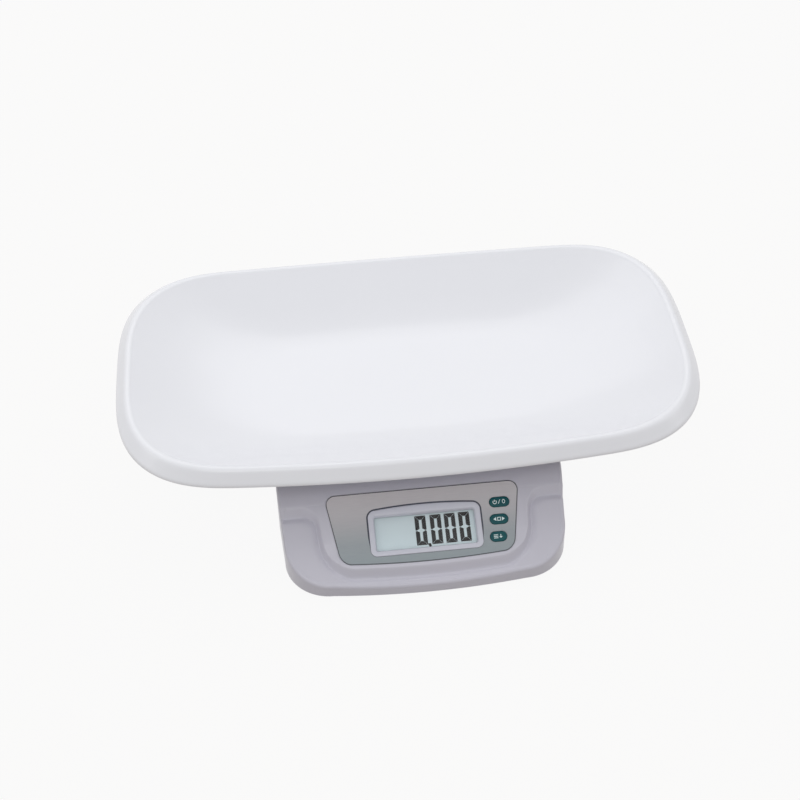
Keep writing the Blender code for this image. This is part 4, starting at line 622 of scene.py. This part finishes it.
def top_height(x, y):
    """Height of the upper surface: the slope softly capped by the ridge, down to the deck behind it,
    a soft step down outside the raised T, and a shallow valley along the step's foot."""
    slope = PANEL_FOOT_Z + (y - PANEL_FOOT_Y) * math.tan(PANEL_ANGLE)
    mix = np.clip(0.5 + 0.5 * (RIDGE_Z - slope) / RIDGE_SOFTNESS, 0, 1)
    height = RIDGE_Z + (slope - RIDGE_Z) * mix - RIDGE_SOFTNESS * mix * (1 - mix)
    behind = (y - RIDGE_Y - RIDGE_WIDTH * RIDGE_BACK_SHARE) / RIDGE_WIDTH
    height = height - (RIDGE_Z - DECK_Z) * smoothstep(behind)
    outside = outside_raised(x, y)
    step = smoothstep(outside / STEP_WIDTH + 0.5) * STEP_HEIGHT / math.cos(PANEL_ANGLE)
    return height - step - STEP_VALLEY * np.exp(-((outside - STEP_WIDTH / 2) / STEP_VALLEY_WIDTH) ** 2)


def side_half_width(y, inset):
    """Half width of the base's sides, which draw in evenly from the ridge towards the front."""
    share = np.clip((y - BASE_FRONT) / (RIDGE_Y - BASE_FRONT), 0, 1)
    return BASE_FRONT_HALF_WIDTH + (BASE_HALF_WIDTH - BASE_FRONT_HALF_WIDTH) * share - inset


def arc(centre, radius, start, end, steps):
    """Points on an arc, both ends included, angles in degrees."""
    angles = np.radians(np.linspace(start, end, steps + 1))
    return np.stack([centre[0] + radius * np.cos(angles), centre[1] + radius * np.sin(angles)], axis=-1)


def columns_of(x, y):
    """Plan points from places across and along, either of them one value for all."""
    return np.stack(np.broadcast_arrays(np.asarray(x, float), np.asarray(y, float)), axis=-1)


def run(start, end, count):
    """Evenly spaced values, the first one left out."""
    return np.linspace(start, end, count + 1)[1:]


def mirrored(half):
    """A closed ring from its right half, which starts and ends on the middle line."""
    return np.concatenate([half, half[-2:0:-1] * (-1, 1)])


def half_rear(inset):
    """The right half of the outline from just above the step to the rear middle."""
    above_step = up_to_y(SHOULDER_UP) + STEP_WIDTH * 0.6
    ridge_start = RIDGE_Y - RIDGE_WIDTH / 2
    ridge_end = RIDGE_Y + RIDGE_WIDTH * (1 + RIDGE_BACK_SHARE)
    centre_y = BASE_REAR - BASE_REAR_CORNER
    along = np.concatenate([
        run(above_step, ridge_start, 8), run(ridge_start, ridge_end, 44), run(ridge_end, centre_y, 40)[:-1],
    ])
    along = np.insert(along, 0, above_step)
    corner = BASE_REAR_CORNER - inset
    centre = (side_half_width(centre_y, inset) - corner, centre_y)
    back = columns_of(run(centre[0], 0, 16), BASE_REAR - inset)
    side = columns_of(side_half_width(along, inset), along)
    return np.concatenate([side, arc(centre, corner, 0, 90, 24), back])


def outline_ring(inset):
    """The base's outline in plan, drawn in by an inset: a bowed front, round corners, drawn-in sides."""
    corner = BASE_FRONT_CORNER - inset
    centre_y = BASE_FRONT + BASE_FRONT_BOW + BASE_FRONT_CORNER
    centre = (side_half_width(centre_y, inset) - corner, centre_y)
    front_x = np.linspace(0, centre[0], 41)[:-1]
    front = columns_of(front_x, BASE_FRONT + inset + BASE_FRONT_BOW * (front_x / centre[0]) ** 2)
    side_y = run(centre_y, up_to_y(SHOULDER_UP) - STEP_WIDTH / 2, 48)
    side = columns_of(side_half_width(side_y, inset), side_y)
    return mirrored(np.concatenate([front, arc(centre, corner, -90, 0, 30), side, half_rear(inset)]))


def tongue_ring(outward, inset):
    """A line along the raised T's step, moved outward from its middle."""
    corner = TONGUE_CORNER + outward
    hollow = SHOULDER_RADIUS - outward
    bottom = up_to_y(TONGUE_BOTTOM_UP) - outward
    centre_y = bottom + TONGUE_BOW + corner
    centre = (tongue_half_width(centre_y) + outward - corner, centre_y)
    front_x = np.linspace(0, centre[0], 41)[:-1]
    front = columns_of(front_x, bottom + TONGUE_BOW * (front_x / centre[0]) ** 2)
    shoulder = up_to_y(SHOULDER_UP) - outward
    side_y = run(centre_y, shoulder - hollow, 16)
    side = columns_of(tongue_half_width(side_y) + outward, side_y)
    turn = (tongue_half_width(shoulder - hollow) + outward + hollow, shoulder - hollow)
    out = columns_of(run(turn[0], side_half_width(shoulder, inset), 12), shoulder)
    return mirrored(np.concatenate([
        front, arc(centre, corner, -90, 0, 30), side, arc(turn, hollow, 180, 90, 20)[1:], out,
        half_rear(inset),
    ]))


def on_top(ring, drop=0.0):
    """Lifts plan points onto the upper surface, or a drop below it."""
    x, y = ring[..., 0], ring[..., 1]
    return np.stack([x, y, top_height(x, y) - drop], axis=-1)


def case_rings():
    """Rings from the skirt's lower edge round the brow, over the ledge and up the step.

    The brow is a quarter round: inset by radius x (1 - cos), dropped by radius x (1 - sin).
    The ledge is a straight blend in plan between the brow's inner edge and the step's foot.
    """
    foot = outline_ring(0)
    brow = on_top(outline_ring(CASE_DRAFT + CASE_EDGE_RADIUS))
    rings = [np.column_stack([outline_ring(CASE_DRAFT * share), foot[:, 0] * 0 + SKIRT_BOTTOM_Z
                              + (brow[:, 2] - CASE_EDGE_RADIUS - SKIRT_BOTTOM_Z) * share])
             for share in (0, 0.03, 0.35, 0.7)]
    for angle in np.linspace(0, np.pi / 2, 10):
        plan = outline_ring(CASE_DRAFT + CASE_EDGE_RADIUS * (1 - math.cos(angle)))
        rings.append(np.column_stack([plan, brow[:, 2] - CASE_EDGE_RADIUS * (1 - math.sin(angle))]))
    shares = np.linspace(0.5, -0.5, 19)
    insets = CASE_DRAFT + CASE_EDGE_RADIUS + RING_INSET * (1 + 4 * (0.5 - shares))
    step_foot = tongue_ring(STEP_WIDTH * shares[0], insets[0])
    for share in np.linspace(0, 1, 9)[1:-1]:
        rings.append(on_top(brow[:, :2] * (1 - share) + step_foot * share))
    for share, inset in zip(shares, insets):
        rings.append(on_top(tongue_ring(STEP_WIDTH * share, inset)))
    return np.array(rings)


def level_strips(ring):
    """Faces from side to side across a mirrored ring, each between two places along the base.

    Points level with each other share one strip's edge, so no strip has zero width.
    """
    count = len(ring)
    half = count // 2
    rises = np.diff(ring[:half + 1, 1]) > 0.00001
    lows = np.flatnonzero(rises)
    firsts = np.concatenate([[0], lows[:-1] + 1])
    lasts = np.where(lows == lows[-1], half, lows + 1)
    strips = []
    for first, last in zip(firsts, lasts):
        right = np.arange(first, last + 1)
        left = right[::-1]
        strips.append(np.concatenate([right, count - left[(left > 0) & (left < half)]]).tolist())
    return strips


def on_panel(loop, out=0.0):
    """A loop of (across, up) points put in the sloping panel's plane, a height out of it."""
    across, up = loop[:, 0], loop[:, 1]
    out = out + across * 0
    y = PANEL_FOOT_Y + TRAY_CENTRE_Y + up * math.cos(PANEL_ANGLE) - out * math.sin(PANEL_ANGLE)
    z = PANEL_FOOT_Z + up * math.sin(PANEL_ANGLE) + out * math.cos(PANEL_ANGLE)
    return np.column_stack([across, y, z])


def rounded_loop(half_width, low, high, corner, side_steps=40, corner_steps=14):
    """A rounded rectangle, counterclockwise, with equal counts on each side and corner at any size."""
    x, bottom, top = half_width - corner, low + corner, high - corner
    sides = ((-x, low, x, low), (half_width, bottom, half_width, top), (x, high, -x, high),
             (-half_width, top, -half_width, bottom))
    turns = ((x, bottom, -90), (x, top, 0), (-x, top, 90), (-x, bottom, 180))
    parts = []
    for (ax, ay, bx, by), (cx, cy, start) in zip(sides, turns):
        share = np.linspace(0, 1, side_steps, endpoint=False)
        parts.append(columns_of(ax + (bx - ax) * share, ay + (by - ay) * share))
        parts.append(arc((cx, cy), corner, start, start + 90, corner_steps)[:-1])
    return np.concatenate(parts)


def label_loop(grow=0.0):
    """The label: a rounded rectangle narrowed evenly downward, its lower edge bowed down by a parabola."""
    low, high = LABEL_BOTTOM_UP - grow, LABEL_TOP_UP + grow
    loop = rounded_loop(LABEL_TOP_HALF_WIDTH + grow, low, high, LABEL_CORNER + grow)
    share = (loop[:, 1] - low) / (high - low)
    taper = (LABEL_TOP_HALF_WIDTH - LABEL_BOTTOM_HALF_WIDTH) * (1 - share) / LABEL_TOP_HALF_WIDTH
    bow = LABEL_BOW * (1 - (loop[:, 0] / LABEL_TOP_HALF_WIDTH) ** 2) * (1 - smoothstep(share * 2))
    return columns_of(loop[:, 0] * (1 - taper), loop[:, 1] - bow)


def frame_loop(grow=0.0):
    """The display frame: a rounded rectangle whose upper edge is arched up by a parabola."""
    low = WINDOW_CENTRE_UP - WINDOW_HALF_HEIGHT - FRAME_BOTTOM - grow
    high = WINDOW_CENTRE_UP + WINDOW_HALF_HEIGHT + FRAME_TOP + grow
    loop = rounded_loop(WINDOW_HALF_WIDTH + FRAME_SIDE + grow, low, high, FRAME_CORNER + grow)
    share = (loop[:, 1] - WINDOW_CENTRE_UP) / (high - WINDOW_CENTRE_UP)
    arch = FRAME_ARCH * (1 - (loop[:, 0] / (WINDOW_HALF_WIDTH + FRAME_SIDE)) ** 2)
    return columns_of(loop[:, 0], loop[:, 1] + arch * smoothstep(share))


def window_loop(grow=0.0):
    return rounded_loop(
        WINDOW_HALF_WIDTH + grow, WINDOW_CENTRE_UP - WINDOW_HALF_HEIGHT - grow,
        WINDOW_CENTRE_UP + WINDOW_HALF_HEIGHT + grow, WINDOW_CORNER + max(grow, 0),
    )


def pill_loop(width, height, centre, steps=24):
    """A slot with round ends: two half circles, the straight sides between their ends."""
    reach = (width - height) / 2
    right = arc((centre[0] + reach, centre[1]), height / 2, -90, 90, steps)
    left = arc((centre[0] - reach, centre[1]), height / 2, 90, 270, steps)
    return np.concatenate([right, left])


def panel_stack(name, levels, finish, body, **given):
    """A solid through loops in the panel's plane, each with its height out of it."""
    rings = np.array([on_panel(loop, out) for loop, out in levels])
    return piece(name, *closed_stack(rings), finish, body, **given)


def button_centre(i):
    return BUTTON_ACROSS[i] * MM, BUTTON_TOP_UP - i * BUTTON_PITCH


def button_loop(i, grow):
    return pill_loop(BUTTON_WIDTHS[i] * MM + 2 * grow, BUTTON_HEIGHT + 2 * grow, button_centre(i))


def make_top_case():
    """The upper housing: one lofted skin given its wall, then the label recess and the holes cut in it."""
    rings = case_rings()
    rings[..., 1] += TRAY_CENTRE_Y
    rows, columns = rings.shape[:2]
    last = (rows - 1) * columns
    faces = grid_quads(rows, columns)
    faces += [[last + corner for corner in strip] for strip in level_strips(rings[-1])]
    case = piece("top_case_shell", rings, faces, CASE_LAVENDER, None, outward=False)
    wall = case.modifiers.new("wall", "SOLIDIFY")
    wall.thickness = CASE_WALL
    wall.offset = -1.0
    wall.use_even_offset = True
    settle(case)
    deep = -CASE_WALL * 2
    tools = [
        panel_stack("label_recess", [(label_loop(BUTTON_CLEARANCE), -LABEL_RECESS),
                                     (label_loop(BUTTON_CLEARANCE), CASE_WALL)], CASE_LAVENDER, None),
        panel_stack("window_hole", [(frame_loop(-FRAME_BOTTOM / 2), deep),
                                    (frame_loop(-FRAME_BOTTOM / 2), CASE_WALL)], CASE_LAVENDER, None),
    ]
    for i, name in enumerate(BUTTON_NAMES):
        hole = button_loop(i, BUTTON_CLEARANCE)
        tools.append(panel_stack(name + "_hole", [(hole, deep), (hole, CASE_WALL)], CASE_LAVENDER, None))
    cut_away(case, *tools)
    smooth(case.data, 30)
    hand_over(case, "base", ["top_case"])


def make_display_frame():
    """The raised frame: a profile of (share from outer edge to window, height) round both loops."""
    profile = np.array([
        [0.000, -0.95], [0.000, 0.30], [0.012, 0.55], [0.045, 0.78], [0.100, 0.93], [0.180, 1.00],
        [0.420, 1.02], [0.640, 1.00], [0.730, 0.94], [0.790, 0.78], [0.830, 0.50], [0.960, -1.60],
        [1.000, -2.45], [0.820, -2.50], [0.620, -2.50], [0.560, -2.40], [0.540, -0.95],
    ])
    outer, inner = frame_loop(), window_loop()
    rings = np.array([on_panel(outer * (1 - share) + inner * share, height * MM) for share, height in profile])
    piece("display_frame", *ring_band(rings), FRAME_PALE, "base", slot="case_lavender")


def make_label():
    """The silver label with its openings, the dark line printed round it, and a painted shadow round the
    frame.
    """
    label = panel_stack("label_plate", [
        (label_loop(), -LABEL_THICKNESS), (label_loop(), -LABEL_CHAMFER), (label_loop(-LABEL_CHAMFER), 0.0),
    ], LABEL_FILM_PAINTED_LIGHT, None)
    tools = [panel_stack("frame_cut", [(frame_loop(FRAME_CLEARANCE), -2 * LABEL_THICKNESS),
                                       (frame_loop(FRAME_CLEARANCE), 2 * LABEL_THICKNESS)], LABEL_FILM_PAINTED_LIGHT, None)]
    for i, name in enumerate(BUTTON_NAMES):
        hole = button_loop(i, BUTTON_CLEARANCE)
        tools.append(panel_stack(name + "_cut", [(hole, -2 * LABEL_THICKNESS), (hole, 2 * LABEL_THICKNESS)],
                                 LABEL_FILM_PAINTED_LIGHT, None))
    cut_away(label, *tools)
    smooth(label.data, 30)
    hand_over(label, "base", ["faceplate"])
    print_and_shadow_band("label_line", label_loop(-LABEL_LINE_INSET), label_loop(-LABEL_LINE_INSET - LABEL_LINE),
                 PRINT_AND_SHADOW_HEIGHT, LABEL_EDGE)
    # Painted shadow round the frame: widest along the top, thinning down the sides to a tenth of its width at
    # the bottom
    inner = frame_loop(FRAME_SHADOW_START)
    share = smoothstep((inner[:, 1] - WINDOW_CENTRE_UP + WINDOW_HALF_HEIGHT) / WINDOW_HALF_HEIGHT)[:, None]
    width = FRAME_SHADOW_THINNEST + (1 - FRAME_SHADOW_THINNEST) * share
    outer = inner + (frame_loop(FRAME_SHADOW_END) - inner) * width
    print_and_shadow_band("frame_painted_shadow_band", inner, outer, 2 * PRINT_AND_SHADOW_HEIGHT, FRAME_PAINTED_SHADOW)


def print_and_shadow_band(name, inner, outer, height, finish):
    """A thin band between two loops, from inside the label up to a height above it: the label's printed line,
    and the painted shadow round the frame.
    """
    rings = np.array([on_panel(loop, out) for loop, out in (
        (inner, -LABEL_CHAMFER), (inner, height), (outer, height), (outer, -LABEL_CHAMFER))])
    piece(name, *ring_band(rings), finish, "base", slot="label_silver")


def make_buttons():
    """Three pill keys: a stem, a flange behind the case, and a cap with a rounded rim and a slight crown."""
    crown = ((0.00, -2.80), (0.00, 0.15), (0.10, 0.42), (0.32, 0.62), (0.75, 0.74), (1.6, 0.80), (3.6, 0.82))
    for i, name in enumerate(BUTTON_NAMES):
        stem = pill_loop(STEM_WIDTH, STEM_WIDTH, button_centre(i))
        flange = button_loop(i, FLANGE_GROW)
        levels = [(stem, STEM_FOOT), (stem, FLANGE_FOOT), (flange, FLANGE_FOOT), (flange, FLANGE_TOP)]
        levels += [(button_loop(i, -inset * MM), out * MM) for inset, out in crown]
        panel_stack(name + "_cap", levels, BUTTON_TEAL, name, stands_for=[name], slot="button_teal")
    make_button_signs()


def prisms(outlines, low, high):
    """Points and faces of thin prisms over outlines in the panel's plane, between two heights."""
    points, faces, start = [], [], 0
    for outline in outlines:
        count = len(outline)
        points += [on_panel(outline, low), on_panel(outline, high)]
        faces += (np.array(grid_quads(2, count)) + start).tolist()
        floor = np.arange(start, start + count)
        faces += [floor[::-1].tolist(), (floor + count).tolist()]
        start += 2 * count
    return np.concatenate(points), faces


def shape(*corners):
    """A flat outline from its corners in millimetres."""
    return np.array(corners, float) * MM


def bar(left, low, width, height):
    return shape((left, low), (left + width, low), (left + width, low + height), (left, low + height))


def stroke(centre, radius, width, start, end, slimness=1.0, steps=40):
    """A band of even width along an arc, in millimetres: its outer arc, then its inner arc backwards."""
    outer = arc((0, 0), radius + width / 2, start, end, steps) * (slimness, 1)
    inner = arc((0, 0), radius - width / 2, start, end, steps) * (slimness, 1)
    return (np.concatenate([outer, inner[::-1]]) + centre) * MM


def make_button_signs():
    """Plain signs printed on the keys: on and nought, a choice of two ways, and a stored list."""
    signs = {
        "button_zero": [
            stroke((-4.3, -0.1), 1.65, 0.62, 125, 415), bar(-4.61, 0.1, 0.62, 2.1),
            shape((-1.5, -2.0), (-0.9, -2.0), (1.0, 2.0), (0.4, 2.0)),
            stroke((3.9, 0.0), 1.65, 0.66, -90, 90, 0.72), stroke((3.9, 0.0), 1.65, 0.66, 90, 270, 0.72),
        ],
        "button_mode": [
            shape((-5.3, 0.0), (-2.7, -1.8), (-2.7, 1.8)), shape((5.3, 0.0), (2.7, 1.8), (2.7, -1.8)),
            bar(-1.7, -1.7, 3.4, 0.62), bar(-1.7, 1.08, 3.4, 0.62), bar(-1.7, -1.0, 0.62, 2.0),
            bar(1.08, -1.0, 0.62, 2.0),
        ],
        "button_memory": [
            bar(-4.4, -1.75, 4.0, 0.66), bar(-4.4, -0.33, 4.0, 0.66), bar(-4.4, 1.09, 4.0, 0.66),
            bar(1.75, -0.2, 0.66, 1.95), shape((0.5, -0.2), (2.08, -1.75), (3.66, -0.2)),
        ],
    }
    for i, name in enumerate(BUTTON_NAMES):
        placed = [outline + button_centre(i) for outline in signs[name]]
        piece(name + "_sign", *prisms(placed, SIGN_LOW, SIGN_HIGH), SIGN_WHITE, name, slot="button_teal")


def nought(left):
    """The six lit bars of a display nought, each with slanted ends and a thin break between them."""
    width, height, stroke_width, gap = (
        value / MM for value in (DIGIT_WIDTH, DIGIT_HEIGHT, DIGIT_STROKE, DIGIT_BREAK))
    middle = height / 2
    top = np.array([(gap, height), (width - gap, height), (width - gap - stroke_width, height - stroke_width),
                    (gap + stroke_width, height - stroke_width)])
    side = np.array([
        (0, height - gap), (0, middle + gap + 0.5), (0.3 * stroke_width, middle + gap),
        (stroke_width, middle + gap + 0.4 * stroke_width), (stroke_width, height - gap - stroke_width),
    ])
    upper = [top[::-1], side, (side * (-1, 1) + (width, 0))[::-1]]
    lower = [(part * (1, -1) + (0, height))[::-1] for part in upper]
    corner = (left, DIGIT_BOTTOM_UP / MM)
    return [(part + corner) * MM for part in upper + lower]


def make_digits():
    """Four noughts and a decimal mark, lit on the display glass."""
    lit = [part for left in DIGIT_LEFTS for part in nought(left)]
    lit.append(shape(*DECIMAL_MARK))
    piece("display_digits", *prisms(lit, GLASS_TOP + DIGIT_LOW, GLASS_TOP + DIGIT_HIGH), DIGIT_BLACK, "base",
          slot="lcd_grey")


# Finishes of the solids that keep their own shape, by the start of their name
SOLID_FINISHES = (
    ("bottom_case", CASE_UNDERSIDE), ("battery_door", CASE_UNDERSIDE), ("battery_cell", BATTERY_WRAP),
    ("battery_contact", CONTACT_STEEL), ("battery_lead", LEAD_GREY), ("foot_", RUBBER_GREY),
    ("case_screw", STEEL), ("tray_carrier", CASE_UNDERSIDE), ("carrier_pad", PAD_RUBBER),
    ("load_cell_plate", PLATE_STEEL), ("load_cell_lead", LEAD_GREY), ("load_cell", ALUMINIUM),
    ("lower_spacer", ALUMINIUM), ("upper_spacer", ALUMINIUM), ("lower_bolt", STEEL), ("upper_bolt", STEEL),
    ("overload_stop", STEEL), ("plate_screw", STEEL), ("board_screw", STEEL), ("lcd_lens", CLEAR_WINDOW),
    ("lcd_glass", DISPLAY_GLASS_PAINTED_SHADE), ("lcd_holder", HOLDER_WHITE), ("contact_strip", SOFT_STRIP),
    ("main_board", BOARD_MASK), ("tact_switch", BLACK_PLASTIC), ("buzzer", BLACK_PLASTIC),
)


def finish_solids():
    for name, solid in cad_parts.items():
        for start, finish in SOLID_FINISHES:
            if name.startswith(start):
                solid.data.materials.clear()
                solid.data.materials.append(finish)
                break


# Floor, light and camera

def seen_directly(nodes, links):
    """One where the camera, a reflection or a clear piece looks straight at the surface, else nought."""
    path = nodes.new("ShaderNodeLightPath")
    total = path.outputs["Is Camera Ray"]
    for kind in ("Is Glossy Ray", "Is Transmission Ray"):
        add = nodes.new("ShaderNodeMath")
        add.operation = "MAXIMUM"
        links.new(total, add.inputs[0])
        links.new(path.outputs[kind], add.inputs[1])
        total = add.outputs[0]
    return total


def make_floor():
    """A pale floor, part white by itself where it is looked at, so that only soft shadow shows on it."""
    made, nodes, links, shader = blank_finish("studio_floor", 0.9)
    links.new(shades(nodes, links, noise(nodes, links, 3, 2.0), (
        (0.3, tint(168, 160, 152)), (0.7, tint(171, 163, 155)),
    )), shader.inputs["Base Color"])
    glow = nodes.new("ShaderNodeEmission")
    glow.inputs["Color"].default_value = (1, 1, 1, 1)
    blend = nodes.new("ShaderNodeMixShader")
    share = nodes.new("ShaderNodeMath")
    share.operation = "MULTIPLY"
    share.inputs[1].default_value = FLOOR_GLOW
    links.new(seen_directly(nodes, links), share.inputs[0])
    links.new(share.outputs[0], blend.inputs["Fac"])
    links.new(shader.outputs["BSDF"], blend.inputs[1])
    links.new(glow.outputs["Emission"], blend.inputs[2])
    links.new(blend.outputs["Shader"], nodes["Material Output"].inputs["Surface"])
    corners = np.array([(-1, -1, 0), (1, -1, 0), (1, 1, 0), (-1, 1, 0)]) * FLOOR_REACH + (0, 0, FLOOR_Z)
    piece("studio_floor", corners, [[0, 1, 2, 3]], made, None, outward=False)


def make_world():
    """White where it is looked at, and a dimmer even light on everything else."""
    world = bpy.data.worlds.new("studio_air")
    bpy.context.scene.world = world
    world.use_nodes = True
    nodes, links = world.node_tree.nodes, world.node_tree.links
    strength = nodes.new("ShaderNodeMapRange")
    strength.inputs["To Min"].default_value = AIR_LIGHT
    strength.inputs["To Max"].default_value = 1.0
    links.new(seen_directly(nodes, links), strength.inputs["Value"])
    air = nodes["Background"]
    air.inputs["Color"].default_value = (1, 1, 1, 1)
    links.new(strength.outputs["Result"], air.inputs["Strength"])


def softbox(name, location, target, size, power):
    """A rectangular lamp that faces a target."""
    lamp = bpy.data.lights.new(name, "AREA")
    lamp.shape = "RECTANGLE"
    lamp.size, lamp.size_y = size
    lamp.energy = power
    made = bpy.data.objects.new(name, lamp)
    bpy.context.scene.collection.objects.link(made)
    away = np.array(location) - np.array(target)
    back = away / np.linalg.norm(away)
    side = np.cross((0.0, 1.0, 0.0), back)
    side /= np.linalg.norm(side)
    made.matrix_world = standing(side, np.cross(back, side), back, location)


def standing(right, up, back, place):
    """A matrix from its three axes and its place."""
    turned = np.eye(4)
    turned[:3, :4] = np.column_stack([right, up, back, place])
    return Matrix(turned.tolist())


def make_camera():
    """The photograph's view: turned about the upright, raised, and rolled slightly about its own axis."""
    elevation, yaw, roll = (math.radians(angle) for angle in CAMERA_TURNS)
    level = math.cos(elevation)
    back = np.array([math.sin(yaw) * level, -math.cos(yaw) * level, math.sin(elevation)])
    right = np.array([math.cos(yaw), math.sin(yaw), 0])
    up = np.cross(back, right)
    camera = bpy.data.cameras.new("photo_view")
    camera.sensor_width = CAMERA_SENSOR
    camera.lens = CAMERA_LENS
    made = bpy.data.objects.new("photo_view", camera)
    bpy.context.scene.collection.objects.link(made)
    made.matrix_world = standing(
        math.cos(roll) * right - math.sin(roll) * up, math.sin(roll) * right + math.cos(roll) * up, back,
        CAMERA_TARGET + CAMERA_DISTANCE * back,
    )
    bpy.context.scene.camera = made


make_tray()
make_top_case()
make_display_frame()
make_label()
make_buttons()
make_digits()
finish_solids()
make_floor()
make_world()
for lamp in SOFTBOXES:
    softbox(*lamp)
make_camera()
bpy.context.scene.view_settings.view_transform = "Standard"
